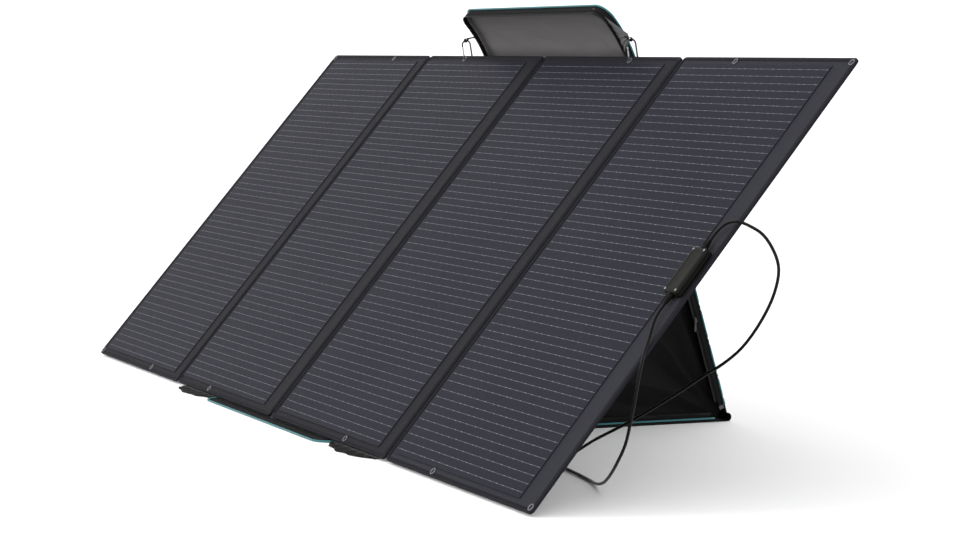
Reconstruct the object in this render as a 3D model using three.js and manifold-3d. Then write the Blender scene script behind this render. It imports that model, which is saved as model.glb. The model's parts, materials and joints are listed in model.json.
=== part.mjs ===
// Folding solar panel kit: four hinged panels that stand on their own soft carrying case.
// Millimetres, +Z up. The origin is on the floor under the middle of the panels' bottom edge.
// +X runs along the panels' width, +Y runs back, away from the side that faces the sun.
import * as THREE from 'three';
import { mergeVertices } from 'three/addons/utils/BufferGeometryUtils.js';
import Module from 'manifold-3d';

const wasm = await Module();
wasm.setup();

// Driving dimensions
const clearance = 0.3;              // gap kept between pieces that touch
const tilt = 50.55;                 // degrees from the floor, the panels' slope

const panelWidths = [590, 590, 590, 595];
const panelLength = 1058;           // along the slope
const boardThickness = 4.5;
const boardCornerRadius = 10;
const foldGap = 9;                  // bare fabric between two boards
const foldNotch = 12;               // how far a fold strip stops short of the edges
const foldStripThickness = 1.6;

const cellPitchX = 170.6;
const cellPitchY = 169.6;
const cellColumns = 3;
const cellRows = 6;
const sheetBorder = 1;
const sheetThickness = 1.2;

const eyeletInset = 11;             // from the edge to the eyelet's centre
const eyeletFromFold = 202;
const eyeletBore = 4.6;             // radius of the open hole
const eyeletBarrel = 5.2;
const eyeletFlange = 7.5;
const eyeletFlangeThickness = 0.8;

const boxLength = 104;
const boxWidth = 46;
const boxTrayHeight = 10;
const boxCoverHeight = 7;
const boxWall = 2;
const boxCornerRadius = 6;
const boxFromEdge = 12;             // from the outer edge of the last panel
const boxCentreUp = 534;            // from the bottom edge, along the slope
const circuitThickness = 1.6;
const glandLength = 22;
const glandRadius = 7;
const leadRadius = 3;
// From each panel's left edge to its cells; the last panel's cells leave room for the box
const boxMargin = boxWidth + boxFromEdge + 4.2;
const cellMarginsLeft = [27, 14, 26, panelWidths[3] - cellColumns * cellPitchX - boxMargin];
const coilMeanRadius = 33;
const coilBand = 14;
const coilHeight = 13;
const plugRadius = 8;
const plugLength = 52;

const caseWidth = 660;
const caseFront = -28;              // front edge of the half that lies on the floor
const hingeBack = panelLength - 58; // spine axis behind the panels' bottom edge, so long panels get a deep base
const hingeHeight = 9;
const skinThickness = 1.5;
const baseBoardThickness = 2.7;
const uprightBoardThickness = 2.5;
const caseCornerRadius = 30;
const wallThickness = 2.5;
const baseWallHeight = 12;
const uprightWallDepth = 16;
const uprightLean = 19.2;             // degrees forward from vertical
const uprightStraight = panelLength - 228;   // length of the flat stretch above the spine
const uprightBend = 30;             // degrees more that the top leans in
const uprightBendLength = 175;
const bendSteps = 8;                // flat stretches that make up the bend
const pipingRadius = 2;
const tapeThickness = 1.2;
const tapeWidth = 8;
const spineRadius = 9;
const gussetReach = 430;
const gussetThickness = 2;
const gussetInset = 14;             // from the side of the case

const sliderRest = 248;             // above the spine, along the upright half
const sliderLength = 16;
const sliderWidth = 10;
const sliderThickness = 5;
const pullLength = 26;
const pullWidth = 6;

const hookWire = 2;                 // radius
const hookRound = 11;               // radius of the carabiner's round ends, at the wire's centre
const hookStraight = 30;
const hookLean = 12;                // degrees forward from vertical
const gateLength = 24;
const gatePivotGap = 0.9;           // room for the gate's lower end to turn
const loopWidth = 6;
const loopEye = hookWire + 1.7;     // radius of the opening the ring passes through
const loopOuter = loopEye + 1.8;

const handleLength = 150;
const handleRise = 34;
const handleBand = 11;
const handleThickness = 3;
const handleCentre = 500;

// Values worked out from the driving dimensions
const rad = THREE.MathUtils.degToRad;
const slope = { c: Math.cos(rad(tilt)), s: Math.sin(rad(tilt)) };
const openWidth = panelWidths.reduce((sum, width) => sum + width, 0);
const baseTop = skinThickness + clearance + baseBoardThickness;
const footHeight = baseTop + clearance + boardThickness * slope.c;
const halfCase = caseWidth / 2;
const uprightLength = uprightStraight + uprightBendLength;
const panelLeft = panelWidths.map((_, k) => -openWidth / 2 + panelWidths.slice(0, k).reduce((s, w) => s + w, 0));
const foldX = panelLeft.slice(1);
const boardMid = -boardThickness / 2;
const hookHoleX = [foldX[0] + eyeletFromFold, foldX[2] - eyeletFromFold];

// Colours and finishes
const finish = (color, roughness, metalness = 0) => new THREE.MeshStandardMaterial({ color, roughness, metalness });
const boardCloth = finish(0x2b2c33, 0.75);
const cellGlass = finish(0x30303c, 0.38);
const blackCloth = finish(0x191817, 0.8);
const lidCloth = finish(0x232427, 0.85);
const greyBoard = finish(0x5b5957, 0.85);
const tealCord = finish(0x1f7f80, 0.55);
const zipBlack = finish(0x1c1c1e, 0.6);
const blackPlastic = finish(0x1d1c1a, 0.5);
const leadRubber = finish(0x121212, 0.45);
const darkMetal = finish(0x3a3b3e, 0.35, 0.9);
const eyeletMetal = finish(0x8d8f93, 0.35, 0.9);
const circuitGreen = finish(0x1f4a30, 0.5);
const webbing = finish(0x202022, 0.8);

// Groups: the whole kit, the panels' sloping frame and the upright half's leaning frame
const kit = new THREE.Group();
const panelFrame = new THREE.Group();        // x, up the slope, out of the front
panelFrame.position.set(0, 0, footHeight);
panelFrame.rotation.x = rad(tilt);
const uprightFrame = new THREE.Group();      // x, up from the spine, towards the panels
uprightFrame.position.set(0, hingeBack, hingeHeight);
uprightFrame.rotation.x = Math.PI / 2 + rad(uprightLean);
kit.add(panelFrame, uprightFrame);

function place(name, geometry, material, parent = kit, position = [0, 0, 0], rotation = [0, 0, 0]) {
  const mesh = new THREE.Mesh(geometry, material);
  mesh.name = name;
  mesh.position.set(...position);
  mesh.rotation.set(...rotation);
  parent.add(mesh);
  return mesh;
}

// Boolean helpers
function toSolid(geometry) {
  const bare = geometry.clone();
  bare.deleteAttribute('normal');
  bare.deleteAttribute('uv');
  const merged = mergeVertices(bare, 1e-4);
  return new wasm.Manifold(new wasm.Mesh({
    numProp: 3,
    vertProperties: new Float32Array(merged.attributes.position.array),
    triVerts: new Uint32Array(merged.index.array),
  }));
}

function toGeometry(solid) {
  const out = solid.getMesh();
  const geometry = new THREE.BufferGeometry();
  geometry.setAttribute('position', new THREE.BufferAttribute(out.vertProperties, 3));
  geometry.setIndex(new THREE.BufferAttribute(out.triVerts, 1));
  return geometry;
}

const joined = (geometries) => toGeometry(geometries.map(toSolid).reduce((a, b) => a.add(b)));
const cutBy = (geometry, tool) => toGeometry(toSolid(geometry).subtract(toSolid(tool)));

// Shape helpers
function roundedRect(x0, y0, x1, y1, radius) {
  const shape = new THREE.Shape();
  shape.moveTo(x0 + radius, y0);
  shape.lineTo(x1 - radius, y0);
  shape.absarc(x1 - radius, y0 + radius, radius, -Math.PI / 2, 0);
  shape.lineTo(x1, y1 - radius);
  shape.absarc(x1 - radius, y1 - radius, radius, 0, Math.PI / 2);
  shape.lineTo(x0 + radius, y1);
  shape.absarc(x0 + radius, y1 - radius, radius, Math.PI / 2, Math.PI);
  shape.lineTo(x0, y0 + radius);
  shape.absarc(x0 + radius, y0 + radius, radius, Math.PI, Math.PI * 1.5);
  return shape;
}

function slab(shape, low, high, curveSegments = 4) {
  const geometry = new THREE.ExtrudeGeometry(shape, { depth: high - low, bevelEnabled: false, curveSegments });
  return geometry.translate(0, 0, low);
}

function block(x0, x1, y0, y1, z0, z1) {
  const geometry = new THREE.BoxGeometry(x1 - x0, y1 - y0, z1 - z0);
  return geometry.translate((x0 + x1) / 2, (y0 + y1) / 2, (z0 + z1) / 2);
}

// An outline in (y, z), given some width along x
function crossSection(points, x0, x1) {
  const shape = new THREE.Shape(points.map(([y, z]) => new THREE.Vector2(y, z)));
  const geometry = new THREE.ExtrudeGeometry(shape, { depth: x1 - x0, bevelEnabled: false });
  const turn = new THREE.Matrix4().set(0, 0, 1, x0, 1, 0, 0, 0, 0, 1, 0, 0, 0, 0, 0, 1);
  return geometry.applyMatrix4(turn);
}

function circle(radius, sides) {
  const turns = Array.from({ length: sides }, (_, k) => (2 * Math.PI * (k + 0.5)) / sides);
  return new THREE.Shape(turns.map((a) => new THREE.Vector2(radius * Math.cos(a), radius * Math.sin(a))));
}

function tube(points, radius, steps, sides = 8) {
  const path = new THREE.CatmullRomCurve3(points.map((p) => new THREE.Vector3(...p)), false, 'centripetal');
  return new THREE.ExtrudeGeometry(circle(radius, sides), { steps, extrudePath: path, bevelEnabled: false });
}

// A path whose tube has one ring at each listed point
class StationPath extends THREE.Curve {
  constructor(points) {
    super();
    this.stations = points.map((p) => new THREE.Vector3(...p));
  }

  getPointAt(u) {
    return this.stations[Math.round(u * (this.stations.length - 1))].clone();
  }

  // Halfway between the directions of the two stretches that meet there
  getTangentAt(u) {
    const last = this.stations.length - 1;
    const i = Math.round(u * last);
    const direction = (from) => this.stations[from + 1].clone().sub(this.stations[from]).normalize();
    return direction(Math.max(0, i - 1)).add(direction(Math.min(last - 1, i))).normalize();
  }
}

function stationTube(points, radius, sides = 8) {
  const extrudePath = new StationPath(points);
  return new THREE.ExtrudeGeometry(circle(radius, sides), { steps: points.length - 1, extrudePath,
    bevelEnabled: false });
}

// Panels: a stiff board with a laminated cell sheet on its front, and eyelets along two edges
function eyeletPlaces(k) {
  const left = panelLeft[k];
  const right = left + panelWidths[k];
  const middle = k % 2 === 0 ? right - eyeletFromFold : left + eyeletFromFold;
  const outer = { 0: [left + eyeletInset], 3: [right - eyeletInset] }[k] ?? [];
  return [middle, ...outer].flatMap((x) => [[x, eyeletInset], [x, panelLength - eyeletInset]]);
}

const eyeletSides = 12;
const ringPoints = (radius) => Array.from({ length: eyeletSides }, (_, i) => (2 * Math.PI * i) / eyeletSides)
  .map((a) => [radius * Math.cos(a), -radius * Math.sin(a)]);

function board(k) {
  const left = panelLeft[k] + (k > 0 ? foldGap / 2 : 0);
  const right = panelLeft[k] + panelWidths[k] - (k < 3 ? foldGap / 2 : 0);
  const shape = roundedRect(left, 0, right, panelLength, boardCornerRadius);
  for (const [x, y] of eyeletPlaces(k)) {
    const rim = ringPoints(eyeletBarrel + clearance).map(([dx, dy]) => new THREE.Vector2(x + dx, y + dy));
    shape.holes.push(new THREE.Path(rim));
  }
  return slab(shape, -boardThickness, 0);
}

function cellSheet(k) {
  const left = panelLeft[k] + cellMarginsLeft[k];
  const bottom = (panelLength - cellRows * cellPitchY) / 2;
  const right = left + cellColumns * cellPitchX + sheetBorder;
  const shape = roundedRect(left - sheetBorder, bottom - sheetBorder, right,
    panelLength - bottom + sheetBorder, 2 * sheetBorder);
  return slab(shape, clearance, clearance + sheetThickness, 1);
}

function eyelet() {
  const front = clearance;
  const back = -boardThickness - clearance;
  const profile = [
    [eyeletBore, back - eyeletFlangeThickness], [eyeletFlange, back - eyeletFlangeThickness],
    [eyeletFlange, back], [eyeletBarrel, back], [eyeletBarrel, front], [eyeletFlange, front],
    [eyeletFlange, front + eyeletFlangeThickness], [eyeletBore, front + eyeletFlangeThickness],
    [eyeletBore, back - eyeletFlangeThickness],
  ].map(([r, z]) => new THREE.Vector2(r, z));
  return new THREE.LatheGeometry(profile, eyeletSides).rotateX(Math.PI / 2);
}

for (let k = 0; k < 4; k += 1) {
  place(`panel_board_${k + 1}`, board(k), boardCloth, panelFrame);
  place(`cell_sheet_${k + 1}`, cellSheet(k), cellGlass, panelFrame);
}
const eyeletSpots = [0, 1, 2, 3].flatMap(eyeletPlaces).sort((a, b) => a[1] - b[1] || a[0] - b[0]);
eyeletSpots.forEach(([x, y], i) => {
  const row = i < 6 ? 'bottom' : 'top';
  place(`eyelet_${row}_${(i % 6) + 1}`, eyelet(), eyeletMetal, panelFrame, [x, y, 0]);
});
foldX.forEach((x, i) => {
  const half = foldGap / 2 - clearance;
  const strip = block(x - half, x + half, foldNotch, panelLength - foldNotch,
    boardMid - foldStripThickness / 2, boardMid + foldStripThickness / 2);
  place(`fold_strip_${i + 1}`, strip, blackCloth, panelFrame);
});

// Junction box on the outer margin, with a gland at each end
const boxRight = openWidth / 2 - boxFromEdge;
const boxX = boxRight - boxWidth / 2;
const boxLow = boxCentreUp - boxLength / 2;
const boxHigh = boxCentreUp + boxLength / 2;
const coverLow = clearance + boxTrayHeight + clearance;
const boxOutline = (inset) => roundedRect(boxRight - boxWidth + inset, boxLow + inset, boxRight - inset,
  boxHigh - inset, boxCornerRadius - inset);
const coverCavityTop = coverLow + boxCoverHeight - boxWall;
place('junction_box_tray', cutBy(slab(boxOutline(0), clearance, clearance + boxTrayHeight),
  slab(boxOutline(boxWall), clearance + boxWall, coverLow)), blackPlastic, panelFrame);
place('junction_box_cover', cutBy(slab(boxOutline(0), coverLow, coverLow + boxCoverHeight),
  slab(boxOutline(boxWall), coverLow - clearance, coverCavityTop)), blackPlastic, panelFrame);
const circuitLow = 2 * clearance + boxWall;
place('diode_board', slab(boxOutline(boxWall + 1), circuitLow, circuitLow + circuitThickness),
  circuitGreen, panelFrame);

const glandProfile = [[0, 0], [1, 0], [1, 0.25], [0.8, 0.35], [0.6, 1], [0, 1]]
  .map(([r, h]) => new THREE.Vector2(r * glandRadius, h * glandLength));
const gland = () => new THREE.LatheGeometry(glandProfile, 12);
const glandOut = clearance + glandRadius + 1.5;
place('gland_upper', gland(), blackPlastic, panelFrame, [boxX, boxHigh + clearance, glandOut]);
place('gland_lower', gland(), blackPlastic, panelFrame, [boxX, boxLow - clearance, glandOut], [Math.PI, 0, 0]);

// Leads: free rubber cables, each ending in a coil and a plug on the floor behind the last panel
const upperLeadRoute = [
  [1147.5, 379.8, 483.3], [1148, 391.2, 497.2], [1155, 400.2, 509.8], [1170, 405.8, 518.1], [1188, 411.3, 520.1],
  [1204, 424, 514], [1219, 446, 498], [1227, 467, 466], [1227, 478, 435], [1216, 478, 390],
  [1190, 470, 337], [1148, 459, 283], [1108, 445, 248], [1070, 430, 222], [1022, 409, 186],
  [974, 386, 151], [930, 365, 120], [886, 343, 92], [852, 327, 71], [815, 320, 49],
  [770, 325, 28], [725, 341, 12], [690, 356, 5.2], [662, 367, 3.5], [641.5, 373, 3.4],
];
const lowerLeadRoute = [
  [1147.5, 284.9, 367.8], [1148, 273.5, 354], [1153, 262.2, 341], [1163, 249.6, 324.2], [1175, 235.3, 303.6],
  [1187, 219.4, 280.4], [1193, 209.2, 252.5], [1194, 204, 225], [1191, 201.5, 196], [1182, 201, 163],
  [1160, 205, 117], [1116, 215, 73], [1062, 233, 39], [1008, 253, 17], [955, 271, 5.4], [908, 284, 3.4],
  [851, 295, 3.4], [796, 304, 3.4], [755, 311, 3.4], [717.1, 313, 3.4],
];
const coilUpper = [614, 340];
const coilLower = [690, 280];

function coilRing() {
  const inner = coilMeanRadius - coilBand / 2;
  const outer = coilMeanRadius + coilBand / 2;
  const ease = coilHeight / 3;
  const profile = [[inner, ease], [inner + ease, 0], [outer - ease, 0], [outer, ease], [outer, coilHeight - ease],
    [outer - ease, coilHeight], [inner + ease, coilHeight], [inner, coilHeight - ease], [inner, ease]];
  return new THREE.LatheGeometry(profile.map(([r, z]) => new THREE.Vector2(r, z)), 24).rotateX(Math.PI / 2);
}

const plugProfile = [[0, 0], [0.6, 0], [0.7, 0.2], [1, 0.26], [1, 0.5], [0.82, 0.54], [0.82, 0.8], [0.5, 0.82],
  [0.5, 1], [0, 1]].map(([r, h]) => new THREE.Vector2(r * plugRadius, h * plugLength));
const plug = () => new THREE.LatheGeometry(plugProfile, 12).rotateZ(Math.PI / 2);
const plugBack = coilMeanRadius - 3.8;
for (const [end, route, steps, [x, y], way] of [['upper', upperLeadRoute, 64, coilUpper, -1],
  ['lower', lowerLeadRoute, 56, coilLower, 1]]) {
  place(`lead_${end}`, tube(route, leadRadius, steps), leadRubber);
  place(`coil_${end}`, coilRing(), leadRubber, kit, [x, y, coilHeight], [Math.PI, 0, 0]);
  // The plug lies where the last turn leaves the coil: behind it pointing left, or before it pointing right
  place(`plug_${end}`, plug(), blackPlastic, kit,
    [x + way * plugBack, y - way * coilMeanRadius, plugRadius], [0, 0, way > 0 ? Math.PI : 0]);
}

// Half of the case that lies on the floor
const baseBack = hingeBack - 4;
function baseOutline(inset) {
  const shape = new THREE.Shape();
  const side = halfCase - inset;
  const front = caseFront + inset;
  const back = baseBack - inset;
  const radius = caseCornerRadius - inset;
  shape.moveTo(-side, back);
  shape.lineTo(-side, front + radius);
  shape.absarc(-side + radius, front + radius, radius, Math.PI, Math.PI * 1.5);
  shape.lineTo(side - radius, front);
  shape.absarc(side - radius, front + radius, radius, -Math.PI / 2, 0);
  shape.lineTo(side, back);
  return shape;
}

const wallStart = 16;
const wallEnd = hingeBack - 40;
const baseWall = [[wallStart, skinThickness / 2], [wallEnd, skinThickness / 2], [wallEnd, baseWallHeight],
  [wallStart + 44, baseWallHeight], [wallStart, 3]];
place('base_shell', joined([
  slab(baseOutline(0), 0, skinThickness, 6),
  crossSection(baseWall, -halfCase, -halfCase + wallThickness),
  crossSection(baseWall, halfCase - wallThickness, halfCase),
]), lidCloth);
const boardSide = halfCase - 20;
place('base_stiffener', slab(roundedRect(-boardSide, caseFront + 8, boardSide, hingeBack - 30, 10),
  skinThickness + clearance, baseTop), greyBoard);

const pipeOut = clearance + pipingRadius;
const pipeSide = halfCase + pipeOut;
const pipeFront = caseFront - pipeOut;
const pipeTurn = caseCornerRadius + pipeOut;
const cornerSteps = 8;
const baseCorner = (sign) => Array.from({ length: cornerSteps + 1 }, (_, i) => {
  const a = (Math.PI / 2) * (i / cornerSteps);
  return [sign * (pipeSide - pipeTurn * (1 - Math.cos(a))), pipeFront + pipeTurn * (1 - Math.sin(a)), pipeOut];
});
const pipeRise = [[wallEnd, 9], [640, 9], [320, 9], [110, 9], [80, 8.4], [50, 4], [34, 2.6], [20, pipeOut],
  [10, pipeOut]];
const baseSide = (sign) => pipeRise.map(([y, z]) => [sign * pipeSide, y, z]);
const frontFlat = [-0.8, 0, 0.8].map((f) => [f * halfCase, pipeFront, pipeOut]);
const basePipe = [...baseSide(-1), ...baseCorner(-1), ...frontFlat, ...baseCorner(1).reverse(),
  ...baseSide(1).reverse()];
place('base_piping', stationTube(basePipe, pipingRadius), tealCord);

const tapeOut = halfCase - wallThickness / 2 + tapeThickness / 2;
const tapeIn = tapeOut - tapeThickness;
for (const [side, x0, x1] of [['left', -tapeOut, -tapeIn], ['right', tapeIn, tapeOut]]) {
  place(`base_zip_tape_${side}`, block(x0, x1, wallStart + 60, wallEnd - 10,
    baseWallHeight + clearance, baseWallHeight + clearance + tapeWidth), zipBlack);
}

// Half of the case that stands up behind the panels. Its side view is a flat stretch and a bend:
// up is measured along it from the spine, deep is measured from its outer skin towards the panels.
function uprightPoint(up, deep) {
  const start = rad(uprightLean);
  const past = Math.max(0, up - uprightStraight);
  const radius = uprightBendLength / rad(uprightBend);
  const angle = start + past / radius;
  const flat = Math.min(up, uprightStraight);
  const y = hingeBack - flat * Math.sin(start) - radius * (Math.cos(start) - Math.cos(angle));
  const z = hingeHeight + flat * Math.cos(start) + radius * (Math.sin(angle) - Math.sin(start));
  return [y - deep * Math.cos(angle), z - deep * Math.sin(angle)];
}

function uprightStrip(up0, up1, deep0, deep1, x0, x1) {
  const bends = Array.from({ length: bendSteps + 1 }, (_, i) => uprightStraight + (i * uprightBendLength) / bendSteps);
  const stops = [up0, ...bends.filter((up) => up > up0 + 1 && up < up1 - 1), up1];
  const outer = stops.map((up) => uprightPoint(up, deep0));
  const inner = stops.map((up) => uprightPoint(up, deep1)).reverse();
  return crossSection([...outer, ...inner], x0, x1);
}

const skinStart = spineRadius + clearance;
const sideStart = 34;
const wallInner = halfCase - wallThickness;
place('upright_shell', joined([
  uprightStrip(skinStart, uprightLength, 0, skinThickness, -halfCase, halfCase),
  uprightStrip(sideStart, uprightLength, skinThickness / 2, uprightWallDepth, -halfCase, -wallInner),
  uprightStrip(sideStart, uprightLength, skinThickness / 2, uprightWallDepth, wallInner, halfCase),
  uprightStrip(uprightLength - wallThickness, uprightLength, skinThickness / 2, uprightWallDepth,
    -halfCase, halfCase),
]), lidCloth);
const uprightBoardLow = skinThickness + clearance;
place('upright_stiffener', uprightStrip(sideStart - 10, uprightLength - 10, uprightBoardLow,
  uprightBoardLow + uprightBoardThickness, -boardSide, boardSide), greyBoard);

const tapeDeep = [uprightWallDepth + clearance, uprightWallDepth + clearance + tapeWidth];
const tapeTop = uprightLength - wallThickness / 2 + tapeThickness / 2;
place('upright_zip_tape', joined([
  uprightStrip(sideStart + 14, tapeTop, ...tapeDeep, -tapeOut, -tapeIn),
  uprightStrip(sideStart + 14, tapeTop, ...tapeDeep, tapeIn, tapeOut),
  uprightStrip(tapeTop - tapeThickness, tapeTop, ...tapeDeep, -tapeOut, tapeOut),
]), zipBlack);

const pipeUps = [sideStart, uprightStraight, 860, 890, 920, 950, 980];
const pipeSideUp = (sign) => pipeUps.map((up) => [sign * pipeSide, ...uprightPoint(up, pipingRadius)]);
const topCorner = [[0, -3], [0.3, 1.2], [-1.1, 2.6], [-5.3, 2.3]];   // out past the side, up past the top
const pipeCorner = (sign) => topCorner.map(([out, over]) => [
  sign * (pipeSide + out), ...uprightPoint(uprightLength + over, pipingRadius)]);
place('upright_piping', stationTube([...pipeSideUp(-1), ...pipeCorner(-1), ...pipeCorner(1).reverse(),
  ...pipeSideUp(1).reverse()], pipingRadius), tealCord);

// Fabric spine round the hinge axis, side gussets and the flaps at the front corners
const spineStart = baseBack + clearance;
const spineSteps = 10;
const spineArc = (radius) => Array.from({ length: spineSteps + 1 }, (_, i) => {
  const a = rad(-90 + (i * (uprightLean + 176)) / spineSteps);
  return [hingeBack + radius * Math.cos(a), hingeHeight + radius * Math.sin(a)];
});
place('spine_band', crossSection([[spineStart, hingeHeight - spineRadius], ...spineArc(spineRadius),
  ...spineArc(spineRadius - skinThickness).reverse(), [spineStart, hingeHeight - spineRadius + skinThickness]],
  -halfCase + 2, halfCase - 2), lidCloth);

const gussetEdge = skinThickness + clearance;
const gussetSide = [
  [hingeBack - 15, gussetEdge], uprightPoint(20, gussetEdge), uprightPoint(gussetReach, gussetEdge),
  [hingeBack - 195, 235], [hingeBack - 290, 92], [hingeBack - gussetReach, gussetEdge],
];
const gussetX = halfCase - gussetInset;
place('gusset_left', crossSection(gussetSide, -gussetX, -gussetX + gussetThickness), blackCloth);
place('gusset_right', crossSection(gussetSide, gussetX - gussetThickness, gussetX), blackCloth);

function cornerFlap(sign) {
  const shape = new THREE.Shape();
  const root = pipeSide + pipingRadius + clearance;
  shape.moveTo(root, -8);
  shape.quadraticCurveTo(root + 60, -52, root + 130, -34);
  shape.quadraticCurveTo(root + 190, -24, root + 215, -2);
  shape.lineTo(root + 205, 14);
  shape.quadraticCurveTo(root + 100, 20, root, 60);
  const flap = slab(shape, clearance, clearance + 2.3, 5);
  return sign > 0 ? flap : flap.rotateY(Math.PI).translate(0, 0, 2 * clearance + 2.3);
}
place('corner_flap_left', cornerFlap(-1), blackCloth);
place('corner_flap_right', cornerFlap(1), blackCloth);

// Zip sliders with hanging pulls, on the upright half's side tapes
const sliderIn = tapeOut + clearance;
const sliderOut = sliderIn + sliderThickness;
const pullPivot = uprightPoint(sliderRest, tapeDeep[1] - 1);
for (const [side, sign] of [['left', -1], ['right', 1]]) {
  const [x0, x1] = [sign * sliderIn, sign * sliderOut].sort((a, b) => a - b);
  place(`zip_slider_${side}`, block(x0, x1, sliderRest - sliderLength / 2, sliderRest + sliderLength / 2,
    tapeDeep[0], tapeDeep[0] + sliderWidth), darkMetal, uprightFrame);
  const pull = slab(roundedRect(-pullWidth / 2, -pullLength, pullWidth / 2, 3, 2.4), 0, 1.2, 3);
  const pullX = sign > 0 ? sliderOut + clearance : -sliderOut - clearance - 1.2;
  pull.applyMatrix4(new THREE.Matrix4().set(0, 0, 1, pullX, 1, 0, 0, pullPivot[0], 0, 1, 0, pullPivot[1],
    0, 0, 0, 1));
  place(`zip_pull_${side}`, pull, darkMetal);
}

// Carabiners: a wire ring through the top eyelet and a webbing loop, with a sprung gate at its front
const holeUp = panelLength - eyeletInset;
const hole = [holeUp * slope.c - boardMid * slope.s, footHeight + holeUp * slope.s + boardMid * slope.c];
const ringLow = [hole[0] + hookRound * slope.c, hole[1] + hookRound * slope.s];
const lean = { c: Math.cos(rad(hookLean)), s: Math.sin(rad(hookLean)) };
const ringPoint = (along, across) => [ringLow[0] - along * lean.s + across * lean.c,
  ringLow[1] + along * lean.c + across * lean.s];
const ringTop = ringPoint(hookStraight + hookRound, 0);
const gateStart = (hookStraight - gateLength) / 2;
const arcSteps = [0, 1, 2, 3, 4, 5, 6, 7, 8];

function ringWire(x) {
  const low = arcSteps.map((i) => ringPoint(-hookRound * Math.sin((Math.PI * i) / 8),
    -hookRound * Math.cos((Math.PI * i) / 8)));
  const high = arcSteps.map((i) => ringPoint(hookStraight + hookRound * Math.sin((Math.PI * i) / 8),
    hookRound * Math.cos((Math.PI * i) / 8)));
  const path = [ringPoint(gateStart, -hookRound), ...low, ringPoint(hookStraight / 2, hookRound), ...high,
    ringPoint(gateStart + gateLength, -hookRound)];
  return tube(path.map(([y, z]) => [x, y, z]), hookWire, 44);
}

function gateWire(x) {
  const ends = [gateStart + gatePivotGap, gateStart + gateLength - clearance - 0.1]
    .map((along) => ringPoint(along, -hookRound));
  const path = new THREE.LineCurve3(...ends.map(([y, z]) => new THREE.Vector3(x, y, z)));
  return new THREE.ExtrudeGeometry(circle(hookWire - 0.2, 8), { steps: 1, extrudePath: path, bevelEnabled: false });
}

// A webbing loop from the side of the upright half round the top of a carabiner
function webbingLoop(sign, x) {
  const reach = Math.abs(x);
  const height = ringTop[1];
  const shape = new THREE.Shape();
  shape.moveTo(halfCase + clearance, height + 7);
  shape.lineTo(reach - 1.5, height - 4.9);
  shape.absarc(reach, height, loopOuter, -Math.PI * 0.6, Math.PI * 0.42);
  shape.lineTo(halfCase + clearance, height + 11);
  const eye = new THREE.Path();
  eye.absarc(reach, height, loopEye, 0, Math.PI * 2, true);
  shape.holes.push(eye);
  const loop = new THREE.ExtrudeGeometry(shape, { depth: loopWidth, bevelEnabled: false, curveSegments: 5 });
  loop.rotateX(Math.PI / 2).translate(0, ringTop[0] + loopWidth / 2, 0);
  return sign > 0 ? loop : loop.rotateZ(Math.PI).translate(0, 2 * ringTop[0], 0);
}

for (const [side, sign, x] of [['left', -1, hookHoleX[0]], ['right', 1, hookHoleX[1]]]) {
  place(`carabiner_${side}`, ringWire(x), darkMetal);
  place(`gate_${side}`, gateWire(x), darkMetal);
  place(`top_loop_${side}`, webbingLoop(sign, x), webbing);
}

// Carrying handles, one on the same side of each half
function handleArch() {
  const foot = 22;
  const half = handleLength / 2;
  const shape = new THREE.Shape();
  shape.moveTo(-half, 0);
  shape.lineTo(-half + foot, 0);
  shape.bezierCurveTo(-half + foot + 4, handleRise - handleThickness, -20, handleRise - handleThickness,
    0, handleRise - handleThickness);
  shape.bezierCurveTo(20, handleRise - handleThickness, half - foot - 4, handleRise - handleThickness,
    half - foot, 0);
  shape.lineTo(half, 0);
  shape.lineTo(half, handleThickness);
  shape.lineTo(half - foot + handleThickness, handleThickness);
  shape.bezierCurveTo(half - foot, handleRise, 22, handleRise, 0, handleRise);
  shape.bezierCurveTo(-22, handleRise, -half + foot, handleRise, -half + foot - handleThickness, handleThickness);
  shape.lineTo(-half, handleThickness);
  return slab(shape, 0, handleBand, 8);
}

// The arch's length runs along local y and it rises towards -x
const handleTurn = new THREE.Matrix4().set(0, -1, 0, 0, 1, 0, 0, 0, 0, 0, 1, 0, 0, 0, 0, 1);
const archFor = () => handleArch().applyMatrix4(handleTurn);
const handleDeep = pipingRadius * 2 + 0.5;
place('upright_handle', archFor(), webbing, uprightFrame, [-halfCase - clearance, handleCentre, handleDeep]);
const baseHandleZ = 12.4;
place('base_handle', archFor().translate(-halfCase - clearance, handleCentre, 0), webbing, kit,
  [0, 0, baseHandleZ]);

export default kit;
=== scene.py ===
# Opened solar panel kit that stands on its own carrying case, dressed around a fixed mechanical frame.
# Metres, +Z up. The panels' bottom edge lies along X and the case stands behind them, towards +Y.
import json
import math

import bmesh
import bpy
from mathutils import Matrix, Vector, noise


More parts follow.
